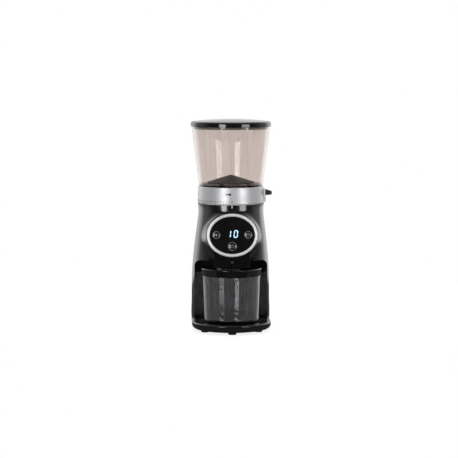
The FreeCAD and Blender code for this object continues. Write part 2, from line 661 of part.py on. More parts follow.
shell_out = body_loft("ShellOutside", "0", "top_z")
shell_in = body_loft("ShellInside", "wall", "(top_z - wall)")
bay = bay_block("Bay", "0")
bay_skin = bay_block("BaySkin", "wall")
room = joined("Cut", shell_in, bay_skin, "ShellRoom")
boss_near = "-(bezel_depth + seat_gap)"
boss_far = "-(bezel_depth + boss_depth)"
boss = oval("PanelBoss", "bezel_half_width + boss_border", "bezel_half_height + boss_border",
            boss_near, boss_far, "boss_flare")
soften(boss, "Fillet", "boss_edge", level_edge(size(boss_near)))
boss_room = oval("PanelRoom", "bezel_half_width - wall / 2", "bezel_half_height - wall / 2",
                 "wall", boss_far)
neck_hole = rod("NeckHole", "ring_guide", "top_z - 2 * wall", "top_z + wall")
nose_hole = prism("NoseHole", nose_plan("fit_gap"), "nose_z", "nose_drop + nose_rise + wall")
gland_slot = new_body("GlandSlot")
gland_layer(gland_slot, "gland_neck + fit_gap", "floor_z - wall", "rear_y + wall", "5 * wall")
gland_layer(gland_slot, "gland_flange + fit_gap", "floor_z - wall", "rear_y + wall", "wall")
ear_holes = [rod("EarHole", "screw_radius + run_gap", "bay_top - wall", "roof_z + wall", x, "-ear_y")
             for x in ("ear_x", "-ear_x")]
blank = fused([shell_out, boss], "ShellBlank")
doc.recompute()
front_edges = [(edge.BoundBox.YMax, number) for number, edge in enumerate(blank.Shape.Edges, start=1)
               if edge.BoundBox.XMin < 0 < edge.BoundBox.XMax and edge.BoundBox.YMax < 0]
boss_root = max(front_edges)[1]
faired = doc.addObject("Part::Fillet", "FairedShell")
faired.Base = blank
faired.Edges = [(boss_root, size("boss_fairing"), size("boss_fairing"))]
shell_cuts = fused([bay, boss_room, neck_hole, nose_hole, gland_slot] + ear_holes, "ShellCuts")
opened = joined("Cut", faired, shell_cuts, "OpenedShell")
opened.Refine = False
housing = joined("Cut", opened, room, "Housing")
housing.Refine = False
keep(housing, "housing")

# Slip washer: the low friction ring between the body and the turning collar.
keep(turned("SlipWasher", [
    ("slip_inner", "top_z"), ("slip_outer", "top_z"), ("slip_outer", "ring_z - seat_gap"),
    ("slip_inner", "ring_z - seat_gap")]), "slip_washer")

# Grind collar: a turned ring with an inner flange slotted for the burr carrier, and its lever boss.
ring = turned("GrindCollar", [
    ("slip_inner", "ring_z"), ("neck_radius - ring_chamfer", "ring_z"),
    ("neck_radius", "ring_z + ring_chamfer"), ("ring_top_radius", "ring_top - ring_chamfer"),
    ("ring_top_radius - ring_chamfer", "ring_top"), ("ring_bore", "ring_top"),
    ("ring_bore", "ring_flange_z"), ("ring_guide", "ring_flange_z"),
    ("ring_guide", "ring_flange_z - ring_flange_height"),
    ("ring_bore", "ring_flange_z - ring_flange_height"),
    ("ring_bore", "ring_z + ring_foot_height"), ("slip_inner", "ring_z + ring_foot_height")])
slot = outline(sketch(ring, height="ring_flange_z"), box_corners(
    "ring_guide - ring_wall", "lug_reach + slide_gap", "-(lug_width / 2 + slide_gap)",
    "lug_width / 2 + slide_gap"))
repeat(ring, drill(ring, slot, "ring_flange_height"), "lugs")
lever_boss = outline(sketch(ring, height="ring_z + boss_lift"), [
    ("ring_bore + ring_wall / 2", "-boss_half_width"),
    ("boss_length - boss_round", "-boss_half_width", "boss_round", True),
    ("boss_length", "boss_round - boss_half_width"),
    ("boss_length", "boss_half_width - boss_round", "boss_round", True),
    ("boss_length - boss_round", "boss_half_width"), ("ring_bore + ring_wall / 2", "boss_half_width")])
pad(ring, lever_boss, "boss_height")
keep(ring, "grind_collar")

lever = new_body("Lever")
lever_top = "(ring_z + boss_lift + boss_height - lever_drop)"
lever_under = lever_top + " - lever_root_height"
lever_side = outline(sketch(lever, "XZ_Plane"), [
    ("boss_length + seat_gap", lever_under),
    ("boss_length + lever_length", lever_under + " + lever_tip_lift"),
    ("boss_length + lever_length", lever_under + " + lever_tip_lift + lever_tip_height"),
    ("boss_length + seat_gap", lever_top)])
pad(lever, lever_side, "2 * lever_half_width", midplane=True)
lever_tip = size("boss_length + lever_length")
soften(lever, "Fillet", "lever_round", lambda edge: edge.BoundBox.XMin > lever_tip - 1e-3)
keep(lever, "collar_lever")

# Bean hopper: a tapered clear moulding with a funnel floor, a throat and a spigot for the collar.
keep(turned("Hopper", [
    ("hopper_top_radius", "hopper_top"), ("hopper_top_radius - hopper_wall", "hopper_top"),
    ("funnel_rim", "funnel_rim_z"), ("throat_radius", "funnel_low_z"),
    ("throat_radius", "funnel_low_z - throat_drop"),
    ("throat_radius + hopper_wall", "funnel_low_z - throat_drop"),
    ("throat_radius + hopper_wall", "funnel_low_z - hopper_wall / 2"),
    ("spigot_radius - hopper_wall", "hopper_z - hopper_wall / 2"),
    ("spigot_radius - hopper_wall", "hopper_z - spigot_height"),
    ("spigot_radius", "hopper_z - spigot_height"), ("spigot_radius", "hopper_z"),
    ("hopper_base_radius", "hopper_z")]), "hopper")

# Bean guard: a cone on three legs that keeps fingers and heavy beans off the burrs.
guard = turned("BeanGuard", [
    ("0", "hopper_z + guard_apex_rise"), ("guard_tip", "hopper_z + guard_apex_rise"),
    ("guard_radius", "guard_edge_z"), ("guard_radius", "guard_edge_z - guard_wall"),
    ("guard_tip", "hopper_z + guard_apex_rise - guard_wall"),
    ("0", "hopper_z + guard_apex_rise - guard_wall")])


def funnel_at(radius):
    return "funnel_low_z + (%s - throat_radius) * funnel_slope + seat_gap" % radius


def guard_at(radius):
    return "guard_edge_z + (guard_radius - %s) * guard_slope - guard_wall / 2" % radius


guard_leg = outline(sketch(guard, "XZ_Plane"), [
    ("guard_leg_inner", funnel_at("guard_leg_inner")), ("guard_leg_outer", funnel_at("guard_leg_outer")),
    ("guard_leg_outer", guard_at("guard_leg_outer")), ("guard_leg_inner", guard_at("guard_leg_inner"))])
repeat(guard, pad(guard, guard_leg, "guard_leg_width", midplane=True), "guard_legs")
keep(guard, "bean_guard")

# Lid: a shallow domed cap whose plug enters the hopper, with a soft seal round the plug.
dome_radius = "((lid_radius - lid_round)^2 + lid_dome^2) / (2 * lid_dome)"
keep(turned("Lid", [
    ("lid_plug", "lid_z"), ("lid_radius - lid_edge", "lid_z"), ("lid_radius", "lid_z + lid_edge"),
    ("lid_radius", "lid_shoulder_z - lid_round", "lid_round", True),
    ("lid_radius - lid_round", "lid_shoulder_z", dome_radius, True),
    ("0", "lid_z + lid_height"), ("0", "lid_z + lid_height - lid_wall"),
    ("lid_plug - lid_wall", "lid_shoulder_z - lid_wall"),
    ("lid_plug - lid_wall", "lid_z - lid_plug_depth"), ("lid_plug", "lid_z - lid_plug_depth")]),
    "hopper_lid")
keep(turned("LidSeal", [
    ("lid_plug + run_gap", "lid_z - seal_drop - seal_height"),
    ("lid_plug + seal_width", "lid_z - seal_drop - seal_height + seal_lip"),
    ("lid_plug + seal_width", "lid_z - seal_drop - seal_lip"),
    ("lid_plug + run_gap", "lid_z - seal_drop")]), "lid_seal")

# Grind chamber: a turned cup with the bearing hub below, the collar guide above and a spout.
chamber = turned("GrindChamber", [
    ("shaft_radius + slide_gap", "chamber_z"), ("shaft_radius + slide_gap", "chamber_under_z"),
    ("bearing_radius + run_gap", "chamber_under_z"),
    ("bearing_radius + run_gap", "chamber_under_z - hub_depth"),
    ("hub_radius", "chamber_under_z - hub_depth"), ("hub_radius", "chamber_under_z"),
    ("chamber_radius", "chamber_under_z"), ("chamber_radius", "cover_top"),
    ("chamber_radius + chamber_wall", "cover_top"),
    ("chamber_radius + chamber_wall", "step_z - chamber_wall"),
    ("guide_radius", "step_z - chamber_wall"), ("guide_radius", "guide_top"),
    ("guide_radius - guide_wall", "guide_top"), ("guide_radius - guide_wall", "step_z"),
    ("chamber_radius", "step_z"), ("chamber_radius", "chamber_z")])
spout_side = "(spout_half_width + spout_wall)"
spout = outline(sketch(chamber, height="chamber_under_z"), box_corners(
    "-" + spout_side, spout_side, "-(chute_back - fit_gap)", "-(chamber_radius - chamber_wall / 2)"))
pad(chamber, spout, "chamber_floor + spout_height + spout_wall")
spout_way = outline(sketch(chamber, "XZ_Plane", height="chute_back"), box_corners(
    "-spout_half_width", "spout_half_width", "chamber_z", "chamber_z + spout_height"))
drill(chamber, spout_way, "chute_back - sweeper_inner")
keep(chamber, "grind_chamber")

# Burr carrier: holds the outer burr, slides in the guide and is turned by the collar's slots.
carrier = turned("BurrCarrier", [
    ("ring_burr_radius + fit_gap", "burr_z"), ("carrier_foot", "burr_z"),
    ("carrier_foot", "step_z + carrier_step_gap"), ("carrier_radius", "step_z + carrier_step_gap"),
    ("carrier_radius", "carrier_top"), ("carrier_mouth", "carrier_top"),
    ("ring_burr_top", "burr_top + carrier_lip"), ("ring_burr_top", "burr_top + seat_gap"),
    ("ring_burr_radius + fit_gap", "burr_top + seat_gap")])
lug = outline(sketch(carrier, height="carrier_top"), box_corners(
    "lug_inner", "lug_reach", "-lug_width / 2", "lug_width / 2"))
repeat(carrier, pad(carrier, lug, "lug_height"), "lugs")
keep(carrier, "burr_carrier")

# Burrs: hardened steel, fluted. The ring's flutes run up its bore, the cone's wind round it.
ring_burr = turned("RingBurr", [
    ("ring_burr_radius", "burr_z"), ("ring_burr_radius", "burr_top"), ("ring_burr_top", "burr_top"),
    ("ring_burr_waist", "burr_z + ring_burr_land"), ("cone_radius + burr_gap", "burr_z")])
fluted(ring_burr, ("cone_radius + burr_gap", "burr_z - seat_gap"),
       ("ring_burr_top", "burr_top + seat_gap"),
       "-ring_tooth_depth", "ring_tooth_width", "ring_tooth_turn", "ring_teeth")
keep(ring_burr, "ring_burr")

cone = turned("ConeBurr", [
    ("cone_bore", "cone_z"), ("cone_radius", "cone_z"), ("cone_radius", "cone_z + cone_land"),
    ("cone_mid_radius", "cone_z + cone_mid_rise"), ("cone_top_radius", "cone_top"),
    ("cone_bore", "cone_top")])
fluted(cone, ("cone_radius", "cone_z - seat_gap"), ("cone_mid_radius", "cone_z + cone_mid_rise"),
       "cone_tooth_depth", "cone_tooth_width", "cone_tooth_turn", "cone_teeth")
fluted(cone, ("cone_radius", "cone_z + cone_land"), ("cone_top_radius", "cone_top + seat_gap"),
       "cone_flute_depth", "cone_flute_width", "cone_flute_turn", "cone_flutes")
keep(cone, "cone_burr")

# Drive shaft with its nut, and the sweeper that pushes grounds to the spout.
keep(rod("BurrShaft", "shaft_radius", "shaft_z + run_gap", "shaft_top"), "burr_shaft")
nut = new_body("BurrNut")
nut_drawing = sketch(nut, height="cone_top + run_gap")
outline(nut_drawing, [
    ("nut_flat * cos(%d) / cos(30)" % corner, "nut_flat * sin(%d) / cos(30)" % corner)
    for corner in (30, 90, 150, 210, 270, 330)])
circle(nut_drawing, "cone_bore")
pad(nut, nut_drawing, "nut_height")
keep(nut, "burr_nut")
sweeper = turned("Sweeper", [
    ("cone_bore", "sweeper_z"), ("sweeper_radius", "sweeper_z"),
    ("sweeper_radius", "sweeper_z + sweeper_plate"), ("sweeper_hub", "sweeper_z + sweeper_plate"),
    ("sweeper_hub", "cone_z - run_gap"), ("cone_bore", "cone_z - run_gap")])
blade = outline(sketch(sweeper, height="sweeper_z + sweeper_plate"), box_corners(
    "sweeper_inner", "sweeper_radius - sweeper_gap", "-sweeper_blade_width / 2",
    "sweeper_blade_width / 2"))
repeat(sweeper, pad(sweeper, blade, "sweeper_blade"), "sweeper_blades")
keep(sweeper, "sweeper")

# Shaft bearings: a sealed ball bearing in the chamber hub and a sintered bush in the gearbox.
keep(turned("BallBearing", [
    ("cone_bore", "bearing_z"), ("bearing_radius", "bearing_z"),
    ("bearing_radius", "chamber_under_z - seat_gap"), ("cone_bore", "chamber_under_z - seat_gap")]),
    "shaft_bearing")
keep(turned("ShaftBush", [
    ("cone_bore", "gearbox_z + seat_gap"), ("bush_radius", "gearbox_z + seat_gap"),
    ("bush_radius", "gearbox_z + bush_height"), ("cone_bore", "gearbox_z + bush_height")]), "shaft_bush")

# Spur gears: involute teeth, cut a little thin so that each pair runs with backlash.
PRESSURE_ANGLE = 20
ADDENDUM = 0.9
TOOTH_THINNING = -0.1


def gear(module, teeth, low, width, facing):
    """A toothed disc with one tooth centred on the angle facing, in degrees."""
    wire = fcgear.FCWireBuilder()
    involute.CreateExternalGear(wire, size(module), int(size(teeth)), PRESSURE_ANGLE, False, ADDENDUM,
                                shiftCoeff=TOOTH_THINNING)
    face = Part.Face(Part.Wire([curve.toShape() for curve in wire.wire]))
    face.rotate(Vector(), Vector(0, 0, 1), facing)
    face.translate(Vector(0, 0, size(low)))
    return face.extrude(Vector(0, 0, size(width)))


def disc(radius, low, high):
    return Part.makeCylinder(size(radius), size("(%s) - (%s)" % (high, low)), Vector(0, 0, size(low)))


def gear_piece(shape, name, label, y=None):
    feature = doc.addObject("Part::Feature", name)
    feature.Shape = shape
    place(feature, y=y)
    keep(feature, label)


def gap_towards(teeth, angle):
    return angle + 180.0 / size(teeth)


drive_gear = gear("gear_module_coarse", "drive_teeth", "coarse_z", "coarse_width - mesh_overrun", 90)
drive_gear = drive_gear.fuse(disc("gear_hub", "coarse_z", "coarse_z + coarse_width"))
drive_gear = drive_gear.cut(disc("cone_bore", "gearbox_z", "gearbox_top")).removeSplitter()
gear_piece(drive_gear, "DriveGear", "drive_gear")
idler = gear("gear_module_fine", "idler_teeth", "fine_z", "fine_width", 90)
idler = idler.fuse(gear("gear_module_coarse", "idler_pinion_teeth", "fine_z + fine_width",
                        "coarse_width + mesh_overrun", gap_towards("idler_pinion_teeth", 270)))
idler = idler.cut(disc("pin_radius + run_gap", "gearbox_z", "gearbox_top")).removeSplitter()
gear_piece(idler, "IdlerGear", "idler_gear", "idler_y")
pinion = gear("gear_module_fine", "pinion_teeth", "fine_z - mesh_overrun / 2",
              "fine_width + mesh_overrun", gap_towards("pinion_teeth", 270))
pinion = pinion.cut(disc("motor_shaft + run_gap", "gearbox_z", "gearbox_top"))
gear_piece(pinion, "MotorPinion", "motor_pinion", "motor_y")
keep(rod("IdlerPin", "pin_radius", "gearbox_z + seat_gap", "cover_top - seat_gap", "0", "idler_y"),
     "idler_pin")

# Gearbox: a moulded tray round the gears, its cover, and six screws.
post_spots = [("front_post_x", "-front_post_y"), ("-front_post_x", "-front_post_y"),
              ("rear_post_x", "rear_post_y"), ("-rear_post_x", "rear_post_y")]
ear_spots = [("ear_x", "-ear_y"), ("-ear_x", "-ear_y")]
case_rounds = [("drive_room", "0"), ("idler_room", "idler_y")]
pinion_room = "gear_module_fine * pinion_teeth / 2 + gear_module_fine + gearbox_room / 2"


def gear_rounds(name, low, high, extra):
    """The round walls that follow the gears, grown by extra."""
    rounds = [rod(name, "%s + %s" % (radius, extra), low, high, "0", y) for radius, y in case_rounds]
    rounds.append(rod(name, "%s + %s" % (pinion_room, extra), low, high, "0", "motor_y"))
    return rounds


case_blank = gear_rounds("CaseWall", "gearbox_z", "gearbox_top", "gearbox_wall")
case_blank.append(rod("MotorPlate", "motor_radius", "gearbox_z", "gearbox_in_z", "0", "motor_y"))
case_blank += [rod("CasePost", "screw_post_radius", "gearbox_z", "gearbox_top", x, y)
               for x, y in post_spots]
case_blank += [rod("CaseEar", "ear_radius", "gearbox_z", "gearbox_z + ear_height", x, y)
               for x, y in ear_spots]
case_cuts = gear_rounds("CaseRoom", "gearbox_in_z", "gearbox_top + wall", "0")
for name, radius, y in (("BushSeat", "bush_radius", "0"), ("MotorSeat", "motor_nose", "motor_y"),
                        ("PinSeat", "pin_radius", "idler_y")):
    case_cuts.append(rod(name, radius + " + run_gap", "gearbox_z - wall", "gearbox_top", "0", y))
case_cuts += [rod("CaseScrewHole", "screw_radius + run_gap", "gearbox_top - screw_length",
                  "gearbox_top + wall", x, y) for x, y in post_spots]
case_cuts += [rod("EarScrewHole", "screw_radius + run_gap", "gearbox_z - wall", "gearbox_top", x, y)
              for x, y in ear_spots]
keep(joined("Cut", fused(case_blank, "CaseBlank"), fused(case_cuts, "CaseCuts"), "GearCase"),
     "gearbox_case")

cover_blank = gear_rounds("CoverPlate", "gearbox_top", "cover_top", "gearbox_wall")
cover_blank.append(rod("CoverFlange", "gearbox_flange", "gearbox_top", "cover_top"))
cover_blank += [rod("CoverPost", "screw_post_radius", "gearbox_top", "cover_top", x, y)
                for x, y in post_spots]
cover_cuts = [rod("ShaftWay", "shaft_radius + slide_gap", "gearbox_top - wall", "cover_top + wall"),
              rod("PinTop", "pin_radius + run_gap", "gearbox_top - wall", "cover_top + wall", "0",
                  "idler_y")]
cover_cuts += [rod("CoverHole", "screw_radius + run_gap", "gearbox_top - wall", "cover_top + wall", x, y)
               for x, y in post_spots]
cover_cut = joined("Cut", fused(cover_blank, "CoverBlank"), fused(cover_cuts, "CoverCuts"), "CoverCut")
cover_room = body_loft("CoverRoom", "(wall + run_gap)", "(top_z - wall)")
keep(joined("Common", cover_cut, cover_room, "GearCover"), "gearbox_cover")
case_screws = [screw("CaseScrew", x, y, "cover_top") for x, y in post_spots]
case_screws += [screw("EarScrew", x, y, "gearbox_z + ear_height") for x, y in ear_spots]
keep(grouped(case_screws, "CaseScrews"), "gearbox_screws")

# Motor: drawn steel can with two arc magnets, end cap with brushes, slotted armature on a shaft.
can_bore = "(motor_radius - motor_wall)"
shaft_way = "(motor_shaft + run_gap)"


def motor_piece(body, label):
    place(body, y="motor_y")
    keep(body, label)


motor_piece(turned("MotorCan", [
    (shaft_way, "gearbox_z - motor_wall"), (shaft_way, "gearbox_z + motor_nose_height"),
    ("motor_nose", "gearbox_z + motor_nose_height"), ("motor_nose", "gearbox_z"),
    ("motor_radius", "gearbox_z"), ("motor_radius", "motor_z"), (can_bore, "motor_z"),
    (can_bore, "gearbox_z - motor_wall")]), "motor_can")
motor_piece(turned("MotorEndCap", [
    (shaft_way, "motor_z"), (shaft_way, "motor_z - end_cap_height"),
    ("motor_radius - motor_wall", "motor_z - end_cap_height"),
    ("motor_radius", "motor_z - end_cap_height + motor_wall"), ("motor_radius", "motor_z")]),
    "motor_end_cap")
magnets = new_body("Magnets")
magnets.AllowCompound = True
magnet_in = "(core_radius + air_gap)"
magnet = turn(magnets, [
    (magnet_in, "core_z"), (can_bore + " - run_gap", "core_z"),
    (can_bore + " - run_gap", "core_z + core_length"), (magnet_in, "core_z + core_length")])
bind(magnet, "Angle", "magnet_span")
magnet.Midplane = True
repeat(magnets, magnet, "motor_poles")
motor_piece(magnets, "motor_magnets")
armature = new_body("Armature")
core_plan = sketch(armature, height="core_z")
circle(core_plan, "core_radius")
circle(core_plan, shaft_way)
pad(armature, core_plan, "core_length")
core_slot = outline(sketch(armature, height="core_z + core_length"), box_corners(
    "core_radius - core_slot_depth", "core_radius + core_slot_depth", "-core_slot_width / 2",
    "core_slot_width / 2"))
repeat(armature, drill(armature, core_slot, "core_length"), "core_slots")
motor_piece(armature, "motor_armature")
commutator_top = "(core_z - air_gap)"
motor_piece(turned("Commutator", [
    (shaft_way, commutator_top + " - commutator_length"),
    ("commutator_radius", commutator_top + " - commutator_length"),
    ("commutator_radius", commutator_top), (shaft_way, commutator_top)]), "commutator")
motor_piece(rod("MotorShaft", "motor_shaft", "motor_z - end_cap_height",
                "fine_z + fine_width + mesh_overrun"), "motor_shaft")
brushes = new_body("Brushes")
brushes.AllowCompound = True
brush = outline(sketch(brushes, height="motor_z + run_gap"), box_corners(
    "commutator_radius + air_gap", "commutator_radius + air_gap + 2 * brush_width", "-brush_width / 2",
    "brush_width / 2"))
brush_length = commutator_top + " - commutator_length / 2 - motor_z"
repeat(brushes, pad(brushes, brush, brush_length), "motor_poles")
motor_piece(brushes, "motor_brushes")

# Control panel: a bright oval bezel round a gloss lens, with three buttons and a display behind.
bezel = new_body("Bezel")
bezel_drawing = sketch(bezel)
ellipse(bezel_drawing, "bezel_half_width", "bezel_half_height")
ellipse(bezel_drawing, "bezel_half_width - bezel_band_x", "bezel_half_height - bezel_band_y")
pad(bezel, bezel_drawing, "bezel_depth", reverse=True)
soften(bezel, "Fillet", "bezel_round", level_edge(0.0))
on_panel(bezel)
keep(bezel, "panel_bezel")

BUTTONS = [
    ("cups_button", "-side_button_x", "side_button_y", "side_button_radius"),
    ("timer_button", "side_button_x", "side_button_y", "side_button_radius"),
    ("start_button", "0", "start_button_y", "start_button_radius"),
]
lens = new_body("PanelLens")
lens_drawing = ellipse(sketch(lens, height="lens_back"), "lens_half_width", "lens_half_height")
for _, spot_x, spot_y, radius in BUTTONS:
    circle(lens_drawing, radius + " + button_gap", spot_x, spot_y)
pad(lens, lens_drawing, "lens_thickness")
lens_posts = sketch(lens, height="lens_back")
for spot_x in ("-board_post_x", "board_post_x"):
    for spot_y in ("board_post_y", "-(board_post_y + board_drop)"):
        circle(lens_posts, "board_post_radius", spot_x, spot_y)
pad(lens, lens_posts, "lens_back - board_z - seat_gap", reverse=True)
on_panel(lens)
keep(lens, "panel_lens")

button_face = "(button_proud - lens_recess)"
button_back = "(lens_back - fit_gap)"
flange_back = button_back + " - button_flange"
for label, spot_x, spot_y, radius in BUTTONS:
    button = turned(label.title().replace("_", ""), [
        ("0", button_face + " - button_dish"), (radius + " - button_rim", button_face),
        (radius, button_face + " - button_dish"), (radius, button_back),
        (radius + " + button_rim", button_back), (radius + " + button_rim", flange_back),
        ("stem_radius", flange_back), ("stem_radius", flange_back + " - stem_length"),
        ("0", flange_back + " - stem_length")])
    on_panel_at(button, spot_x, spot_y)
    keep(button, label)

switches = []
for label, spot_x, spot_y, radius in BUTTONS:
    switch = prism("Switch", box_corners("-switch_size / 2", "switch_size / 2", "-switch_size / 2",
                                         "switch_size / 2"), "board_z", "switch_height")
    well = circle(sketch(switch, height="board_z + switch_height"), "stem_radius + button_gap")
    drill(switch, well, "switch_well")
    on_panel_at(switch, spot_x, spot_y)
    switches.append(switch)
keep(grouped(switches, "Switches"), "button_switches")

board = prism("ControlBoard", box_corners(
    "-board_half_width", "board_half_width", "-(board_half_height + board_drop)",
    "(board_half_height - board_drop)", "board_round"), "board_z - board_thickness", "board_thickness")
on_panel(board)
keep(board, "control_board")
display = prism("Display", box_corners(
    "-display_half_width", "display_half_width", "(display_rise - display_half_height)",
    "(display_rise + display_half_height)"), "board_z + seat_gap", "lens_back - board_z - fit_gap")
on_panel(display)
keep(display, "display_module")

# Chute and its nose: grounds drop from the spout through the nose into the container.
chute = prism("Chute", box_corners("-chute_half_width", "chute_half_width", "-chute_front",
                                   "-chute_back"),
              "nose_z + seat_gap", "chute_top - nose_z - seat_gap")
chute_side = "(chute_half_width - chute_wall)"
chute_bore = outline(sketch(chute, height="nose_z + seat_gap"), box_corners(
    "-" + chute_side, chute_side, "-(chute_front - chute_wall)", "-(chute_back + chute_wall)"))
drill(chute, chute_bore, "chute_top - nose_z - chute_wall", reverse=True)
chute_mouth = outline(sketch(chute, "XZ_Plane", height="chute_back"), box_corners(
    "-spout_half_width", "spout_half_width", "chamber_z", "chamber_z + spout_height - chute_wall"))
drill(chute, chute_mouth, "chute_wall + slide_gap", reverse=True)
keep(chute, "chute")

nose = prism("Nose", nose_plan("0"), "nose_z", "nose_drop + nose_rise")
nose_side = "(nose_half_width - nose_wall)"
nose_room = outline(sketch(nose, height="nose_top"), box_corners(
    "-" + nose_side, nose_side, "-(nose_front - nose_wall)", "-(nose_back + nose_wall)", "nose_round"))
drill(nose, nose_room, "nose_drop + nose_rise - nose_wall")
chute_hole = outline(sketch(nose, height="nose_z"), box_corners(
    "-(chute_half_width + fit_gap)", "chute_half_width + fit_gap", "-(chute_front + fit_gap)",
    "-(chute_back - fit_gap)"))
drill(nose, chute_hole, "2 * nose_wall", reverse=True)
keep(nose, "chute_nose")

# Grounds container: a round clear cup with a neck, and the cap that it is filled through. The cap's
# skirt slips over the neck and carries on the line of the cup.
cup_side = "(pot_bottom_radius - pot_wall)"
cup = turned("Cup", [
    ("0", "pot_z"), ("pot_bottom_radius - pot_round", "pot_z", "pot_round", True),
    ("pot_bottom_radius", "pot_z + pot_round"), ("pot_top_radius", "pot_lid_z - pot_lid_gap"),
    ("pot_neck_radius", "pot_lid_z - pot_lid_gap"), ("pot_neck_radius", "pot_top"),
    ("pot_top_radius - pot_wall", "pot_top"),
    (cup_side, "pot_z + pot_round", "pot_round - pot_wall", False),
    ("pot_bottom_radius - pot_round", "pot_z + pot_floor"), ("0", "pot_z + pot_floor")])
place(cup, y="pot_y")
keep(cup, "grounds_container")
cap_top = "(pot_top + seat_gap + pot_lid_wall)"
cap = turned("Cap", [
    ("pot_lid_bore", "pot_lid_z"), ("pot_top_radius", "pot_lid_z"),
    ("pot_lid_radius", cap_top + " - pot_lid_edge", "pot_lid_edge", True),
    ("pot_lid_radius - pot_lid_edge", cap_top), ("0", cap_top), ("0", "pot_top + seat_gap"),
    ("pot_lid_bore", "pot_top + seat_gap")])
cap_hole = outline(sketch(cap, height=cap_top), box_corners(
    "-pot_hole_half_width", "pot_hole_half_width", "-pot_hole_front", "-pot_hole_back",
    "pot_hole_round"))
drill(cap, cap_hole, "2 * pot_lid_wall")
place(cap, y="pot_y")
keep(cap, "container_cap")

# Electrics at the back: the supply board on its posts and the gland that the lead comes in by.
supply = prism("PowerBoard", box_corners(
    "-power_board_width / 2", "power_board_width / 2", "power_board_y - power_board_depth / 2",
    "power_board_y + power_board_depth / 2"), "power_board_z", "board_thickness")
capacitors = sketch(supply, height="power_board_z + board_thickness")
for spot_x in ("-capacitor_x", "capacitor_x"):
    circle(capacitors, "capacitor_radius", spot_x, "power_board_y")
pad(supply, capacitors, "capacitor_height")
keep(supply, "power_board")

gland = new_body("Gland")
gland_layer(gland, "gland_flange", "floor_z + seat_gap", "rear_y + gland_flange_width",
            "gland_flange_width - seat_gap")
gland_layer(gland, "gland_neck", "floor_z + seat_gap", "rear_y + gland_flange_width", "gland_length")
gland_layer(gland, "gland_block", "floor_z + seat_gap", "rear_y - gland_groove",
            "gland_length - gland_flange_width - gland_groove")
lead_way = circle(sketch(gland, "XZ_Plane", height="-(rear_y + gland_flange_width)"), "gland_bore", "0",
                  "gland_z")
drill(gland, lead_way, "gland_length", reverse=True)
keep(gland, "cord_gland")

doc.recompute()
faults = [item.Name for item in doc.Objects if {"Invalid", "Error"} & set(item.State)]
for piece in pieces:
    if piece.Shape.isNull() or not piece.Shape.isValid() or not piece.Shape.Solids:
        faults.append(piece.Label)
if faults:
    raise RuntimeError("not sound: " + ", ".join(faults))

os.makedirs("parts", exist_ok=True)
for piece in pieces:
    piece.Shape.exportStep("parts/" + piece.Label + ".step")
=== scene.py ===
"""Looks of the burr coffee grinder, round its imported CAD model. Metres, +Z up, front to -Y."""
import math

import bmesh
import bpy
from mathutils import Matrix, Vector


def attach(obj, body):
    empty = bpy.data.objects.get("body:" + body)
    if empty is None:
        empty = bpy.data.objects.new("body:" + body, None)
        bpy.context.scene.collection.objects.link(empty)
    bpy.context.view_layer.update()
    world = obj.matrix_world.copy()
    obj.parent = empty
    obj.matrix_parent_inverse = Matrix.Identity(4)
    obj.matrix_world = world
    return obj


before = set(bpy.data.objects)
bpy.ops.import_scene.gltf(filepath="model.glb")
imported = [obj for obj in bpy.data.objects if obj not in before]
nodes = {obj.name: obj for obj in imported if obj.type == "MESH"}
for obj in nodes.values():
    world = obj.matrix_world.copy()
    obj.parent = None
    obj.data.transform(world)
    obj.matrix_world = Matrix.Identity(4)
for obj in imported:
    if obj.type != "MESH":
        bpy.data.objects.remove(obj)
for leftover in ("Cube", "Light", "Camera"):
    if leftover in bpy.data.objects:
        bpy.data.objects.remove(bpy.data.objects[leftover])
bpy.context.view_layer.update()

# Feet and cord gland: soft rubber, the pads pressed into the underside and the gland into the back.
# Moulded in one go, so they are dull, slightly dusty and have no sharp edge.
MM = 0.001
NOISE_LOW = 0.3
NOISE_HIGH = 0.7


def new_finish(name, colour, roughness, metal=0.0):
    """A material whose shader starts as one colour. Its section adds the detail."""
    finish = bpy.data.materials.new(name)
    finish.use_nodes = True
    shader = finish.node_tree.nodes["Principled BSDF"]
    shader.inputs["Base Color"].default_value = (*colour, 1.0)
    shader.inputs["Roughness"].default_value = roughness
    shader.inputs["Metallic"].default_value = metal
    return finish


def shader_of(finish):
    return finish.node_tree.nodes["Principled BSDF"]


def grain(finish, width, stretch=(1.0, 1.0, 1.0), octaves=2.0):
    """Noise fixed to the piece. Width is the size of one grain, and stretch draws it out."""
    tree = finish.node_tree
    place = tree.nodes.new("ShaderNodeTexCoord")
    scale = tree.nodes.new("ShaderNodeMapping")
    scale.inputs["Scale"].default_value = [1.0 / (width * part) for part in stretch]
    noise = tree.nodes.new("ShaderNodeTexNoise")
    noise.inputs["Scale"].default_value = 1.0
    noise.inputs["Detail"].default_value = octaves
    tree.links.new(place.outputs["Object"], scale.inputs["Vector"])
    tree.links.new(scale.outputs["Vector"], noise.inputs["Vector"])
    return noise.outputs["Fac"]


def mottle(finish, speck, socket, low, high):
    """Let the noise move one shader value between low and high."""
    tree = finish.node_tree
    spread = tree.nodes.new("ShaderNodeMapRange")
    spread.inputs["From Min"].default_value = NOISE_LOW
    spread.inputs["From Max"].default_value = NOISE_HIGH
    spread.inputs["To Min"].default_value = low
    spread.inputs["To Max"].default_value = high
    tree.links.new(speck, spread.inputs["Value"])
    tree.links.new(spread.outputs["Result"], shader_of(finish).inputs[socket])


def tone(finish, speck, dark, light):
    """Let the noise shade the colour between two close tones."""
    tree = finish.node_tree
    ramp = tree.nodes.new("ShaderNodeValToRGB")
    ramp.color_ramp.elements[0].position = NOISE_LOW
    ramp.color_ramp.elements[1].position = NOISE_HIGH
    ramp.color_ramp.elements[0].color = (*dark, 1.0)
    ramp.color_ramp.elements[1].color = (*light, 1.0)
    tree.links.new(speck, ramp.inputs["Fac"])
    tree.links.new(ramp.outputs["Color"], shader_of(finish).inputs["Base Color"])


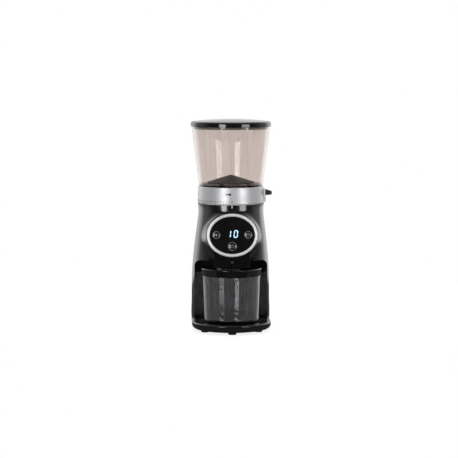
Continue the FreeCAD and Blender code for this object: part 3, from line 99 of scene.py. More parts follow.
def relief(finish, speck, depth, edge=0.0):
    """Raise the noise as a texture of this depth, over edges broken by the radius edge."""
    tree = finish.node_tree
    bump = tree.nodes.new("ShaderNodeBump")
    bump.inputs["Strength"].default_value = 1.0
    bump.inputs["Distance"].default_value = depth
    tree.links.new(speck, bump.inputs["Height"])
    tree.links.new(bump.outputs["Normal"], shader_of(finish).inputs["Normal"])
    if edge:
        soft = tree.nodes.new("ShaderNodeBevel")
        soft.samples = 6
        soft.inputs["Radius"].default_value = edge
        tree.links.new(soft.outputs["Normal"], bump.inputs["Normal"])


def dress(finish, *names):
    """Give CAD nodes their finish."""
    for name in names:
        nodes[name].data.materials.clear()
        nodes[name].data.materials.append(finish)


rubber = new_finish("foot_rubber", (0.018, 0.018, 0.018), 0.8)
rubber_dust = grain(rubber, 6.0 * MM)
tone(rubber, rubber_dust, (0.013, 0.013, 0.013), (0.026, 0.026, 0.025))
mottle(rubber, rubber_dust, "Roughness", 0.7, 0.9)
relief(rubber, grain(rubber, 0.3 * MM), 0.02 * MM, 0.3 * MM)
dress(rubber, "feet", "cord_gland")

# Base tray, housing, container cap and lid: one family of gloss black mouldings.
# Polished tool steel leaves them bright, with a faint waviness that bends reflections. The large
# housing, handled most, is a shade softer than the rest.


def gloss_black(name, roughness, shine):
    """Polished black plastic of about this roughness, and this strength of reflections."""
    gloss = new_finish(name, (0.006, 0.006, 0.007), roughness)
    shader_of(gloss).inputs["Specular IOR Level"].default_value = shine
    cloud = grain(gloss, 14.0 * MM, octaves=3.0)
    tone(gloss, cloud, (0.0045, 0.0045, 0.0050), (0.0080, 0.0080, 0.0088))
    mottle(gloss, cloud, "Roughness", roughness * 0.75, roughness * 1.25)
    relief(gloss, grain(gloss, 3.0 * MM), 0.0012 * MM, 0.35 * MM)
    return gloss


dress(gloss_black("gloss_black_moulding", roughness=0.08, shine=0.5),
      "base_tray", "container_cap", "hopper_lid")
dress(gloss_black("housing_black", roughness=0.15, shine=0.78), "housing")

# Base plate, gearbox, chamber and the other hidden mouldings: filled black plastic.
# Their tools are spark eroded, which leaves an even fine texture.
moulded = new_finish("textured_black_moulding", (0.02, 0.02, 0.02), 0.5)
moulded_cloud = grain(moulded, 9.0 * MM)
tone(moulded, moulded_cloud, (0.016, 0.016, 0.016), (0.026, 0.026, 0.027))
mottle(moulded, moulded_cloud, "Roughness", 0.42, 0.58)
relief(moulded, grain(moulded, 0.35 * MM), 0.02 * MM, 0.25 * MM)
dress(moulded, "base_plate", "gearbox_case", "gearbox_cover", "grind_chamber", "chute",
      "motor_end_cap", "button_switches", "burr_carrier")

# Screws, shafts, pins and bearing: bright drawn steel.
# Drawing leaves fine lines along the bar, and handling leaves faint smears.
bright = new_finish("drawn_steel", (0.62, 0.62, 0.64), 0.22, 1.0)
tone(bright, grain(bright, 5.0 * MM), (0.54, 0.54, 0.56), (0.66, 0.66, 0.68))
draw_lines = grain(bright, 0.12 * MM, (1.0, 1.0, 60.0))
mottle(bright, draw_lines, "Roughness", 0.16, 0.32)
relief(bright, draw_lines, 0.002 * MM, 0.15 * MM)
dress(bright, "base_screws", "gearbox_screws", "shaft_bearing", "idler_pin", "burr_shaft",
      "burr_nut", "motor_shaft")

# Supply board and control board: glass laminate under green solder resist.
# The copper tracks show through the resist as a lighter net.
TRACK_PITCH = 9.0 * MM
TRACK_WIDTH = 0.05
board = new_finish("solder_resist", (0.02, 0.16, 0.07), 0.35)
board_place = board.node_tree.nodes.new("ShaderNodeTexCoord")
tracks = board.node_tree.nodes.new("ShaderNodeTexBrick")
tracks.inputs["Scale"].default_value = 1.0 / TRACK_PITCH
tracks.inputs["Mortar Size"].default_value = TRACK_WIDTH
tracks.inputs["Color1"].default_value = (0.012, 0.11, 0.045, 1.0)
tracks.inputs["Color2"].default_value = (0.016, 0.14, 0.055, 1.0)
tracks.inputs["Mortar"].default_value = (0.06, 0.26, 0.11, 1.0)
board.node_tree.links.new(board_place.outputs["Object"], tracks.inputs["Vector"])
board.node_tree.links.new(tracks.outputs["Color"], shader_of(board).inputs["Base Color"])
mottle(board, grain(board, 4.0 * MM), "Roughness", 0.25, 0.45)
relief(board, tracks.outputs["Fac"], 0.03 * MM, 0.1 * MM)
dress(board, "power_board", "control_board")

# Motor: a drawn and zinc plated can, ferrite magnets, a stacked core and carbon brushes.
# The plating clouds, the ferrite is dull and the core shows its sheets as fine rings.
can = new_finish("zinc_plate", (0.5, 0.51, 0.53), 0.35, 1.0)
can_cloud = grain(can, 7.0 * MM, octaves=4.0)
tone(can, can_cloud, (0.42, 0.43, 0.46), (0.58, 0.59, 0.6))
mottle(can, can_cloud, "Roughness", 0.28, 0.45)
relief(can, grain(can, 0.2 * MM, (1.0, 1.0, 40.0)), 0.004 * MM, 0.3 * MM)
dress(can, "motor_can")

ferrite = new_finish("sintered_ferrite", (0.045, 0.045, 0.05), 0.7)
ferrite_speck = grain(ferrite, 0.5 * MM, octaves=4.0)
tone(ferrite, ferrite_speck, (0.03, 0.03, 0.034), (0.07, 0.07, 0.075))
mottle(ferrite, ferrite_speck, "Roughness", 0.6, 0.8)
relief(ferrite, ferrite_speck, 0.03 * MM, 0.3 * MM)
dress(ferrite, "motor_magnets", "motor_brushes")

core = new_finish("stacked_core_steel", (0.22, 0.22, 0.23), 0.45, 1.0)
sheets = grain(core, 0.5 * MM, (80.0, 80.0, 1.0))
tone(core, sheets, (0.12, 0.12, 0.13), (0.32, 0.32, 0.33))
mottle(core, sheets, "Roughness", 0.35, 0.6)
relief(core, sheets, 0.06 * MM, 0.2 * MM)
dress(core, "motor_armature")

copper = new_finish("turned_copper", (0.72, 0.36, 0.2), 0.3, 1.0)
copper_rings = grain(copper, 0.2 * MM, (30.0, 30.0, 1.0))
tone(copper, grain(copper, 2.0 * MM), (0.58, 0.27, 0.15), (0.78, 0.42, 0.25))
mottle(copper, copper_rings, "Roughness", 0.2, 0.4)
relief(copper, copper_rings, 0.01 * MM, 0.15 * MM)
dress(copper, "commutator")

# Pinion and shaft bush: sintered bronze, pressed from powder and soaked in oil.
# The open pores make it speckled and half dull.
bronze = new_finish("sintered_bronze", (0.5, 0.34, 0.16), 0.42, 1.0)
bronze_pores = grain(bronze, 0.4 * MM, octaves=4.0)
tone(bronze, bronze_pores, (0.36, 0.24, 0.11), (0.58, 0.4, 0.2))
mottle(bronze, bronze_pores, "Roughness", 0.32, 0.55)
relief(bronze, bronze_pores, 0.02 * MM, 0.15 * MM)
dress(bronze, "motor_pinion", "shaft_bush")

# Gears and sweeper: natural acetal, cut and moulded, slightly translucent and greasy.
# The slip washer under the collar is punched from the same plastic.
acetal = new_finish("natural_acetal", (0.8, 0.77, 0.68), 0.35)
acetal_cloud = grain(acetal, 5.0 * MM, octaves=3.0)
tone(acetal, acetal_cloud, (0.74, 0.70, 0.60), (0.84, 0.81, 0.73))
mottle(acetal, acetal_cloud, "Roughness", 0.25, 0.45)
relief(acetal, grain(acetal, 0.6 * MM), 0.006 * MM, 0.15 * MM)
dress(acetal, "drive_gear", "idler_gear", "sweeper", "slip_washer")

# Burrs: hardened tool steel, the flutes ground bright and the backs left grey.
# Grinding leaves short lines across the teeth.
burr = new_finish("ground_burr_steel", (0.5, 0.5, 0.52), 0.3, 1.0)
grind_lines = grain(burr, 0.1 * MM, (1.0, 1.0, 25.0))
tone(burr, grain(burr, 3.0 * MM, octaves=3.0), (0.38, 0.38, 0.40), (0.6, 0.6, 0.62))
mottle(burr, grind_lines, "Roughness", 0.22, 0.42)
relief(burr, grind_lines, 0.006 * MM, 0.08 * MM)
dress(burr, "cone_burr", "ring_burr")

# Index mark on the housing: a short white line printed under the collar.
# It shows which step of the collar's scale is set.
INK = 0.06 * MM


def printed(name, loops, lay, body, finish):
    """Ink laid on a face. Each loop is a flat outline (across, up), and lay puts a point of it,
    with a height above the face, in place."""
    ink = bmesh.new()
    for loop in loops:
        low = [ink.verts.new(lay(across, up, 0.0)) for across, up in loop]
        high = [ink.verts.new(lay(across, up, INK)) for across, up in loop]
        ink.faces.new(high)
        ink.faces.new(low[::-1])
        for start in range(len(loop)):
            stop = (start + 1) % len(loop)
            ink.faces.new((low[start], low[stop], high[stop], high[start]))
    bmesh.ops.recalc_face_normals(ink, faces=ink.faces)
    mesh = bpy.data.meshes.new(name)
    ink.to_mesh(mesh)
    ink.free()
    mesh.materials.append(finish)
    mark = bpy.data.objects.new(name, mesh)
    bpy.context.scene.collection.objects.link(mark)
    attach(mark, body)


def bar(left, right, low, high, parts=1):
    """A printed bar, in strips so that it can follow a round face."""
    step = (right - left) / parts
    return [[(left + step * n, low), (left + step * (n + 1), low),
             (left + step * (n + 1), high), (left + step * n, high)] for n in range(parts)]


def spot(across, up, radius, corners=24):
    """A printed round."""
    turns = [2.0 * math.pi * n / corners for n in range(corners)]
    return [(across + radius * math.cos(t), up + radius * math.sin(t)) for t in turns]


NECK_RADIUS = 57.0 * MM
INDEX_LOW = 212.3 * MM
INDEX_HIGH = 216.4 * MM
INDEX_WIDTH = 1.3 * MM


def on_neck(across, up, lift):
    turn = across / NECK_RADIUS
    reach = NECK_RADIUS + lift
    return Vector((reach * math.sin(turn), -reach * math.cos(turn), up))


white_ink = new_finish("white_ink", (0.72, 0.75, 0.8), 0.45)
tone(white_ink, grain(white_ink, 0.8 * MM), (0.66, 0.69, 0.74), (0.78, 0.80, 0.84))
mottle(white_ink, grain(white_ink, 0.4 * MM), "Roughness", 0.35, 0.55)
printed("index_mark", bar(-INDEX_WIDTH / 2, INDEX_WIDTH / 2, INDEX_LOW, INDEX_HIGH),
        on_neck, "body", white_ink)

# Chute nose: the black block under the panel, pushed up into the roof of the bay.
# Its tool is blasted, so it is dull and swallows the light beside the polished housing.
NOSE_SHINE = 0.03
nose = new_finish("dull_black_moulding", (0.003, 0.003, 0.003), 0.6)
shader_of(nose).inputs["Specular IOR Level"].default_value = NOSE_SHINE
nose_cloud = grain(nose, 8.0 * MM)
tone(nose, nose_cloud, (0.0022, 0.0022, 0.0022), (0.0038, 0.0038, 0.0038))
mottle(nose, nose_cloud, "Roughness", 0.52, 0.66)
relief(nose, grain(nose, 0.3 * MM), 0.01 * MM, 0.4 * MM)
dress(nose, "chute_nose")

# Nose pip: the small dark grey window of the grounds sensor, low on the nose's front face.
# A clear plug pushed in from behind, so it stands a hair proud.
PIP_PLACE = Vector((0.0, -66.6 * MM, 121.8 * MM))
PIP_PROFILE = ((1.9, 0.0), (1.9, 0.18), (1.5, 0.34), (1.1, 0.2), (0.7, 0.42), (0.0, 0.5))


def turned_mesh(name, profile, corners=48):
    """A closed turned form about Z from (radius, height) pairs that end on the axis."""
    form = bmesh.new()
    rings = []
    for radius, height in profile:
        if radius == 0.0:
            rings.append([form.verts.new((0.0, 0.0, height))])
        else:
            rings.append([form.verts.new((radius * math.cos(2 * math.pi * n / corners),
                                          radius * math.sin(2 * math.pi * n / corners), height))
                          for n in range(corners)])
    for inner, outer in zip(rings, rings[1:]):
        for n in range(corners):
            after = (n + 1) % corners
            if len(outer) == 1:
                form.faces.new((inner[n], inner[after], outer[0]))
            else:
                form.faces.new((inner[n], inner[after], outer[after], outer[n]))
    form.faces.new(rings[0][::-1])
    bmesh.ops.recalc_face_normals(form, faces=form.faces)
    for face in form.faces:
        face.smooth = len(face.verts) <= 4
    mesh = bpy.data.meshes.new(name)
    form.to_mesh(mesh)
    form.free()
    return mesh


pip_finish = new_finish("sensor_window", (0.035, 0.037, 0.04), 0.25)
mottle(pip_finish, grain(pip_finish, 1.0 * MM), "Roughness", 0.12, 0.3)
tone(pip_finish, grain(pip_finish, 0.6 * MM), (0.028, 0.030, 0.033), (0.042, 0.044, 0.048))
pip_mesh = turned_mesh("nose_pip", [(r * MM, h * MM) for r, h in PIP_PROFILE])
pip_mesh.materials.append(pip_finish)
nose_pip = bpy.data.objects.new("nose_pip", pip_mesh)
bpy.context.scene.collection.objects.link(nose_pip)
nose_pip.location = PIP_PLACE
nose_pip.rotation_euler = (math.pi / 2, 0.0, 0.0)
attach(nose_pip, "body")

# Panel bezel: an oval moulding with a satin metallic coat, clipped over the lens.
# The coat is sprayed, so fine flakes break up its highlights and it is part paint, part mirror.
COAT_METAL = 0.45
FLAKE_SIZE = 0.16 * MM


def silver_coat(name, level):
    """The satin metallic coat at this level of grey, with its flakes."""
    dark = (level * 0.92, level * 0.92, level * 0.95)
    light = (level * 1.07, level * 1.07, level * 1.11)
    coat = new_finish(name, (level, level, level), 0.40, COAT_METAL)
    flakes = grain(coat, FLAKE_SIZE)
    tone(coat, flakes, dark, light)
    mottle(coat, grain(coat, 11.0 * MM), "Roughness", 0.36, 0.44)
    relief(coat, flakes, 0.0012 * MM, 0.3 * MM)
    return coat


dress(silver_coat("bezel_silver", level=0.70), "panel_bezel")

# Panel lens: a smoked acrylic window, printed black behind, so it looks deep and wet.
# The display module behind it is dark where no segment is lit.
lens = new_finish("smoked_lens", (0.004, 0.004, 0.005), 0.05)
lens_smear = grain(lens, 18.0 * MM, octaves=3.0)
tone(lens, lens_smear, (0.0036, 0.0036, 0.0042), (0.0058, 0.0058, 0.0064))
mottle(lens, lens_smear, "Roughness", 0.04, 0.09)
relief(lens, grain(lens, 8.0 * MM), 0.0008 * MM, 0.25 * MM)
dress(lens, "panel_lens", "display_module")

# Display digits: the lit segments of a two-figure display, shining through the lens.
# Cold white light, its strength varying a little from place to place.
PANEL_CENTRE = Vector((0.0, -70.0 * MM, 168.2 * MM))
PANEL_TILT = math.radians(8.0)
PANEL_UP = Vector((0.0, math.sin(PANEL_TILT), math.cos(PANEL_TILT)))
PANEL_OUT = Vector((0.0, -math.cos(PANEL_TILT), math.sin(PANEL_TILT)))
LENS_FACE = -1.4 * MM
DIGIT_HEIGHT = 12.9 * MM
DIGIT_WIDTH = 7.1 * MM
DIGIT_STROKE = 1.6 * MM
DIGIT_GAP = 0.25 * MM
DIGIT_SLANT = math.tan(math.radians(6.0))
DIGIT_BASE = -4.3 * MM
ONE_LEFT = -9.9 * MM
ZERO_LEFT = 1.8 * MM
FIGURES = {"0": "abcdef", "1": "bc"}
COLD_WHITE = (0.58, 0.80, 1.0, 1.0)


def on_lens(across, up, lift):
    return (PANEL_CENTRE + Vector((across, 0.0, 0.0)) + PANEL_UP * up
            + PANEL_OUT * (LENS_FACE + lift))


def lit_figure(figure, left):
    """The lit segments of one figure, each a bar with pointed ends, leaning to the right."""
    half = DIGIT_STROKE / 2
    middle = DIGIT_HEIGHT / 2
    right = DIGIT_WIDTH - half
    top = DIGIT_HEIGHT - half
    upright = {"f": (half, middle, top), "b": (right, middle, top), "e": (half, half, middle),
               "c": (right, half, middle)}
    level = {"a": top, "d": half}
    loops = []
    for name in FIGURES[figure]:
        if name in upright:
            x, low, high = upright[name]
            low, high = low + DIGIT_GAP, high - DIGIT_GAP
            loop = [(x, low), (x + half, low + half), (x + half, high - half), (x, high),
                    (x - half, high - half), (x - half, low + half)]
        else:
            y = level[name]
            start, stop = half + DIGIT_GAP, right - DIGIT_GAP
            loop = [(start, y), (start + half, y - half), (stop - half, y - half), (stop, y),
                    (stop - half, y + half), (start + half, y + half)]
        loops.append([(left + x + y * DIGIT_SLANT, DIGIT_BASE + y) for x, y in loop])
    return loops


glow = new_finish("lit_segment", (0.30, 0.55, 0.75), 0.3)
shader_of(glow).inputs["Emission Color"].default_value = COLD_WHITE
mottle(glow, grain(glow, 2.5 * MM), "Emission Strength", 0.75, 1.05)
mottle(glow, grain(glow, 1.0 * MM), "Roughness", 0.2, 0.35)
printed("display_digits", lit_figure("1", ONE_LEFT) + lit_figure("0", ZERO_LEFT),
        on_lens, "body", glow)

# Buttons: three gloss black caps, each on its own switch, with a slightly domed face pressed on.
# On each face a ring and a plain sign are printed: a bean, a clock and a power mark.
button = new_finish("gloss_button", (0.010, 0.010, 0.011), 0.12)
button_cloud = grain(button, 3.0 * MM)
tone(button, button_cloud, (0.007, 0.007, 0.008), (0.014, 0.014, 0.015))
mottle(button, button_cloud, "Roughness", 0.08, 0.17)
relief(button, grain(button, 0.8 * MM), 0.001 * MM, 0.9 * MM)
dress(button, "cups_button", "timer_button", "start_button")

grey_ink = new_finish("grey_ink", (0.28, 0.28, 0.29), 0.4)
tone(grey_ink, grain(grey_ink, 0.5 * MM), (0.24, 0.24, 0.25), (0.33, 0.33, 0.34))
mottle(grey_ink, grain(grey_ink, 0.4 * MM), "Roughness", 0.3, 0.5)
BUTTON_RIM = -0.9 * MM
DOME_MARGIN = 0.5 * MM
DOME_LIFT = 0.04 * MM
DOME_FOOT = 0.3 * MM
DOME_CURVE = 19.0 * MM
DOME_STEPS = 14


def arc(radius, width, start, stop, parts=24):
    """A printed arc between two angles in degrees, as one outline."""
    turns = [math.radians(start + (stop - start) * n / parts) for n in range(parts + 1)]
    far = radius + width / 2
    near = radius - width / 2
    outer = [(far * math.cos(t), far * math.sin(t)) for t in turns]
    inner = [(near * math.cos(t), near * math.sin(t)) for t in turns]
    return outer + inner[::-1]


def ring(radius, width):
    return [arc(radius, width, 0.0, 180.0), arc(radius, width, 180.0, 360.0)]


def dome_height(radius, reach):
    """Height of a button's domed face over its rim, at a distance from its middle."""
    edge = math.sqrt(DOME_CURVE ** 2 - (radius - DOME_MARGIN) ** 2)
    return DOME_LIFT + math.sqrt(DOME_CURVE ** 2 - reach ** 2) - edge


def domed_face(name, across, up, radius, key):
    """The domed face of a button that sits at (across, up)."""
    outer = radius - DOME_MARGIN
    reaches = [outer * (1.0 - n / DOME_STEPS) for n in range(DOME_STEPS)] + [0.0]
    profile = [(outer, -DOME_FOOT)] + [(reach, dome_height(radius, reach)) for reach in reaches]
    mesh = turned_mesh(name, profile)
    mesh.materials.append(button)
    face = bpy.data.objects.new(name, mesh)
    bpy.context.scene.collection.objects.link(face)
    face.location = (PANEL_CENTRE + Vector((across, 0.0, 0.0)) + PANEL_UP * up
                     + PANEL_OUT * BUTTON_RIM)
    face.rotation_mode = "QUATERNION"
    face.rotation_quaternion = PANEL_OUT.to_track_quat("Z", "Y")
    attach(face, key)


def button_face(across, up, radius):
    """Puts a printed point on the domed face of a button that sits at (across, up)."""
    def lay(x, y, lift):
        height = BUTTON_RIM + dome_height(radius, math.hypot(x, y))
        return (PANEL_CENTRE + Vector((across + x, 0.0, 0.0)) + PANEL_UP * (up + y)
                + PANEL_OUT * (height + lift))
    return lay


def moved(loop, across, up):
    return [(x + across, y + up) for x, y in loop]


SIDE_RADIUS = 6.6 * MM
START_RADIUS = 7.6 * MM
SIDE_PLACE = (26.8 * MM, 0.6 * MM)
START_PLACE = (0.0, -18.6 * MM)
LINE = 0.4 * MM
SIDE_RING = 5.9 * MM
START_RING = 6.9 * MM
BEAN_RADIUS = 1.05 * MM
BEAN_BODY = 1.9 * MM
BEAN_SQUEEZE = 0.55
BEAN_SEAM = 0.15 * MM
BEAN_SHIFT = -0.1 * MM
CLOCK_RADIUS = 2.4 * MM
LONG_HAND = 1.5 * MM
SHORT_HAND = 1.2 * MM
POWER_RADIUS = 2.5 * MM
POWER_LOW = 0.7 * MM
POWER_HIGH = 3.2 * MM
bean_half = [(x * BEAN_SQUEEZE, y) for x, y in arc(BEAN_RADIUS, BEAN_BODY, 100.0, 260.0)]
bean = [bean_half, [(-x + BEAN_SEAM, y) for x, y in bean_half]]
bean_sign = [moved(loop, BEAN_SHIFT, 0.0) for loop in bean] + ring(SIDE_RING, LINE)
clock_sign = (ring(CLOCK_RADIUS, LINE) + ring(SIDE_RING, LINE)
              + bar(-LINE / 2, LINE / 2, 0.0, LONG_HAND) + bar(LINE / 2, SHORT_HAND, 0.0, LINE))
power_sign = ([arc(POWER_RADIUS, LINE, 125.0, 415.0)]
              + bar(-LINE / 2, LINE / 2, POWER_LOW, POWER_HIGH) + ring(START_RING, LINE))
domed_face("cups_face", -SIDE_PLACE[0], SIDE_PLACE[1], SIDE_RADIUS, "cups_key")
domed_face("timer_face", SIDE_PLACE[0], SIDE_PLACE[1], SIDE_RADIUS, "timer_key")
domed_face("start_face", START_PLACE[0], START_PLACE[1], START_RADIUS, "start_key")
printed("cups_print", bean_sign, button_face(-SIDE_PLACE[0], SIDE_PLACE[1], SIDE_RADIUS),
        "cups_key", grey_ink)
printed("timer_print", clock_sign, button_face(SIDE_PLACE[0], SIDE_PLACE[1], SIDE_RADIUS),
        "timer_key", grey_ink)
printed("start_print", power_sign, button_face(START_PLACE[0], START_PLACE[1], START_RADIUS),
        "start_key", grey_ink)

# Grind collar: a turned-looking moulding with the same satin coat, its inside painted near-black
# without metal as painted shade, which is what shows through the hopper's foot.
# Painted shade: inside these radii the coat's colour and metal fade to near-black.
SHADE_FULL_RADIUS = 50.5 * MM
SHADE_END_RADIUS = 53.0 * MM
PAINTED_SHADE_INSIDE = (0.02, 0.02, 0.021, 1.0)
collar_coat = silver_coat("collar_silver", level=0.48)
collar_tree = collar_coat.node_tree
collar_place = collar_tree.nodes.new("ShaderNodeTexCoord")
collar_flat = collar_tree.nodes.new("ShaderNodeVectorMath")
collar_flat.operation = "MULTIPLY"
collar_flat.inputs[1].default_value = (1.0, 1.0, 0.0)
collar_reach = collar_tree.nodes.new("ShaderNodeVectorMath")
collar_reach.operation = "LENGTH"
collar_shade_mask = collar_tree.nodes.new("ShaderNodeMapRange")
collar_shade_mask.inputs["From Min"].default_value = SHADE_FULL_RADIUS
collar_shade_mask.inputs["From Max"].default_value = SHADE_END_RADIUS
collar_shade_mix = collar_tree.nodes.new("ShaderNodeMix")
collar_shade_mix.data_type = "RGBA"
collar_shade_mix.inputs["A"].default_value = PAINTED_SHADE_INSIDE
collar_shine = collar_tree.nodes.new("ShaderNodeMapRange")
collar_shine.inputs["To Max"].default_value = COAT_METAL
collar_colour = shader_of(collar_coat).inputs["Base Color"].links[0].from_socket
collar_tree.links.new(collar_place.outputs["Object"], collar_flat.inputs[0])
collar_tree.links.new(collar_flat.outputs["Vector"], collar_reach.inputs[0])
collar_tree.links.new(collar_reach.outputs["Value"], collar_shade_mask.inputs["Value"])
collar_tree.links.new(collar_shade_mask.outputs["Result"], collar_shade_mix.inputs["Factor"])
collar_tree.links.new(collar_colour, collar_shade_mix.inputs["B"])
collar_tree.links.new(collar_shade_mix.outputs["Result"], shader_of(collar_coat).inputs["Base Color"])
collar_tree.links.new(collar_shade_mask.outputs["Result"], collar_shine.inputs["Value"])
collar_tree.links.new(collar_shine.outputs["Result"], shader_of(collar_coat).inputs["Metallic"])
dress(collar_coat, "grind_collar")

# Collar scale: pad-printed figures and dots round the lower edge, and a turn-to-remove sign.
# The ink follows the collar's slight taper and turns with it.
COLLAR_LOW = 219.2 * MM
COLLAR_HIGH = 245.8 * MM
COLLAR_LOW_RADIUS = 57.0 * MM
COLLAR_HIGH_RADIUS = 55.7 * MM
COLLAR_TAPER = (COLLAR_LOW_RADIUS - COLLAR_HIGH_RADIUS) / (COLLAR_HIGH - COLLAR_LOW)
SCALE_STEP = math.radians(5.0)
SCALE_STEPS = 18
SCALE_LOW = 221.2 * MM
FIGURE_HEIGHT = 3.3 * MM
FIGURE_SHARE = 0.7
STROKE_GROWTH = 0.14 * MM
DOT_RADIUS = 0.9 * MM
SIGN_HEIGHT = 235.4 * MM
SIGN_LEFT = -10.6 * MM
SIGN_RIGHT = -3.2 * MM
SIGN_HALF = 1.0 * MM
SIGN_STRIPS = 8
SIGN_SPOT = (-3.4 * MM, SIGN_HEIGHT, 2.2 * MM)
POINTER = [(-2.3 * MM, 228.4 * MM), (-1.0 * MM, 228.4 * MM), (-1.65 * MM, 230.6 * MM)]


def on_collar(across, up, lift):
    reach = COLLAR_LOW_RADIUS - (up - COLLAR_LOW) * COLLAR_TAPER + lift
    turn = across / COLLAR_LOW_RADIUS
    return Vector((reach * math.sin(turn), -reach * math.cos(turn), up))


def figure_loops(text, height):
    """Flat outlines of a figure in the plain built-in letter shape, as its triangles."""
    letters = bpy.data.curves.new("figure", "FONT")
    letters.body = text
    letters.align_x = "CENTER"
    letters.size = height / FIGURE_SHARE
    letters.resolution_u = 3
    letters.offset = STROKE_GROWTH
    holder = bpy.data.objects.new("figure", letters)
    bpy.context.scene.collection.objects.link(holder)
    shape = bpy.data.meshes.new_from_object(
        holder.evaluated_get(bpy.context.evaluated_depsgraph_get()))
    loops = [[tuple(shape.vertices[n].co[:2]) for n in face.vertices] for face in shape.polygons]
    bpy.data.objects.remove(holder)
    bpy.data.curves.remove(letters)
    bpy.data.meshes.remove(shape)
    return loops


dark_ink = new_finish("dark_grey_ink", (0.02, 0.02, 0.022), 0.6)
tone(dark_ink, grain(dark_ink, 0.5 * MM), (0.016, 0.016, 0.018), (0.03, 0.03, 0.033))
mottle(dark_ink, grain(dark_ink, 0.4 * MM), "Roughness", 0.5, 0.7)
scale_loops = []
for step in range(SCALE_STEPS + 1):
    along = -SCALE_STEP * step * COLLAR_LOW_RADIUS
    if step % 2:
        scale_loops.append(spot(along, SCALE_LOW + FIGURE_HEIGHT / 2, DOT_RADIUS))
    else:
        scale_loops += [moved(loop, along, SCALE_LOW)
                        for loop in figure_loops(str(step // 2), FIGURE_HEIGHT)]
sign_loops = bar(SIGN_LEFT, SIGN_RIGHT, SIGN_HEIGHT - SIGN_HALF, SIGN_HEIGHT + SIGN_HALF,
                 parts=SIGN_STRIPS)
sign_loops += [spot(*SIGN_SPOT), POINTER]
printed("collar_scale", scale_loops + sign_loops, on_collar, "collar", dark_ink)

# Collar lever: a satin black thumb piece pushed on to the collar's boss.
# A shade duller than the housing, so that a thumb doesn't slip.
lever = new_finish("satin_black_moulding", (0.012, 0.012, 0.013), 0.32)
lever_cloud = grain(lever, 4.0 * MM)
tone(lever, lever_cloud, (0.009, 0.009, 0.010), (0.017, 0.017, 0.018))
mottle(lever, lever_cloud, "Roughness", 0.26, 0.4)
relief(lever, grain(lever, 0.3 * MM), 0.006 * MM, 0.4 * MM)
dress(lever, "collar_lever")

# Bean hopper: clear plastic with a warm smoke tint, moulded in one piece with its funnel.
# Thin enough to see through, with faint flow streaks from the moulding, and its tint darkened
# at its foot as painted shade, where it drops into the collar.
CLEAR_IOR = 1.49
SMOKE_TINT = (0.77, 0.71, 0.675)
# Painted shade: below 253 mm the tint darkens to this dark brown at the hopper's foot.
FOOT_PAINTED_SHADE = (0.16, 0.14, 0.13)
SHADE_DARKEST_HEIGHT = 246.8 * MM
SHADE_END_HEIGHT = 253.0 * MM
STREAK_WIDTH = 7.0 * MM
STREAK_STRETCH = (1.0, 1.0, 40.0)
STREAK_DARK = 0.94
STREAK_LIGHT = 1.03


def clear_plastic(name, tint):
    """See-through plastic of this tint, polished, with the slight waves of a moulded wall."""
    plastic = new_finish(name, tint, 0.03)
    shader_of(plastic).inputs["Transmission Weight"].default_value = 1.0
    shader_of(plastic).inputs["IOR"].default_value = CLEAR_IOR
    mottle(plastic, grain(plastic, 25.0 * MM, (1.0, 1.0, 3.0)), "Roughness", 0.015, 0.05)
    relief(plastic, grain(plastic, 30.0 * MM, (1.0, 1.0, 4.0)), 0.004 * MM)
    return plastic


smoke = clear_plastic("warm_smoked_plastic", SMOKE_TINT)
smoke_nodes = smoke.node_tree.nodes
smoke_links = smoke.node_tree.links
smoke_place = smoke_nodes.new("ShaderNodeTexCoord")
smoke_axes = smoke_nodes.new("ShaderNodeSeparateXYZ")
foot_shade_fade = smoke_nodes.new("ShaderNodeMapRange")
foot_shade_fade.inputs["From Min"].default_value = SHADE_DARKEST_HEIGHT
foot_shade_fade.inputs["From Max"].default_value = SHADE_END_HEIGHT
tint_and_painted_shade = smoke_nodes.new("ShaderNodeValToRGB")
tint_and_painted_shade.color_ramp.elements[0].color = (*FOOT_PAINTED_SHADE, 1.0)
tint_and_painted_shade.color_ramp.elements[1].color = (*SMOKE_TINT, 1.0)
smoke_flow = smoke_nodes.new("ShaderNodeMapRange")
smoke_flow.inputs["From Min"].default_value = NOISE_LOW
smoke_flow.inputs["From Max"].default_value = NOISE_HIGH
smoke_flow.inputs["To Min"].default_value = STREAK_DARK
smoke_flow.inputs["To Max"].default_value = STREAK_LIGHT
smoke_shade = smoke_nodes.new("ShaderNodeVectorMath")
smoke_shade.operation = "SCALE"
smoke_links.new(smoke_place.outputs["Object"], smoke_axes.inputs["Vector"])
smoke_links.new(smoke_axes.outputs["Z"], foot_shade_fade.inputs["Value"])
smoke_links.new(foot_shade_fade.outputs["Result"], tint_and_painted_shade.inputs["Fac"])
smoke_links.new(grain(smoke, STREAK_WIDTH, STREAK_STRETCH), smoke_flow.inputs["Value"])
smoke_links.new(tint_and_painted_shade.outputs["Color"], smoke_shade.inputs[0])
smoke_links.new(smoke_flow.outputs["Result"], smoke_shade.inputs["Scale"])
smoke_links.new(smoke_shade.outputs["Vector"], shader_of(smoke).inputs["Base Color"])
dress(smoke, "hopper")

# Bean guard: a dark satin cone on three legs, clipped into the hopper's floor.
# It keeps fingers and the weight of the beans off the burrs.
GUARD_SHINE = 0.15
guard = new_finish("dark_satin_moulding", (0.016, 0.013, 0.011), 0.4)
shader_of(guard).inputs["Specular IOR Level"].default_value = GUARD_SHINE
guard_cloud = grain(guard, 6.0 * MM)
tone(guard, guard_cloud, (0.012, 0.010, 0.0085), (0.020, 0.017, 0.014))
mottle(guard, guard_cloud, "Roughness", 0.32, 0.48)
relief(guard, grain(guard, 0.4 * MM), 0.008 * MM, 0.3 * MM)
dress(guard, "bean_guard")

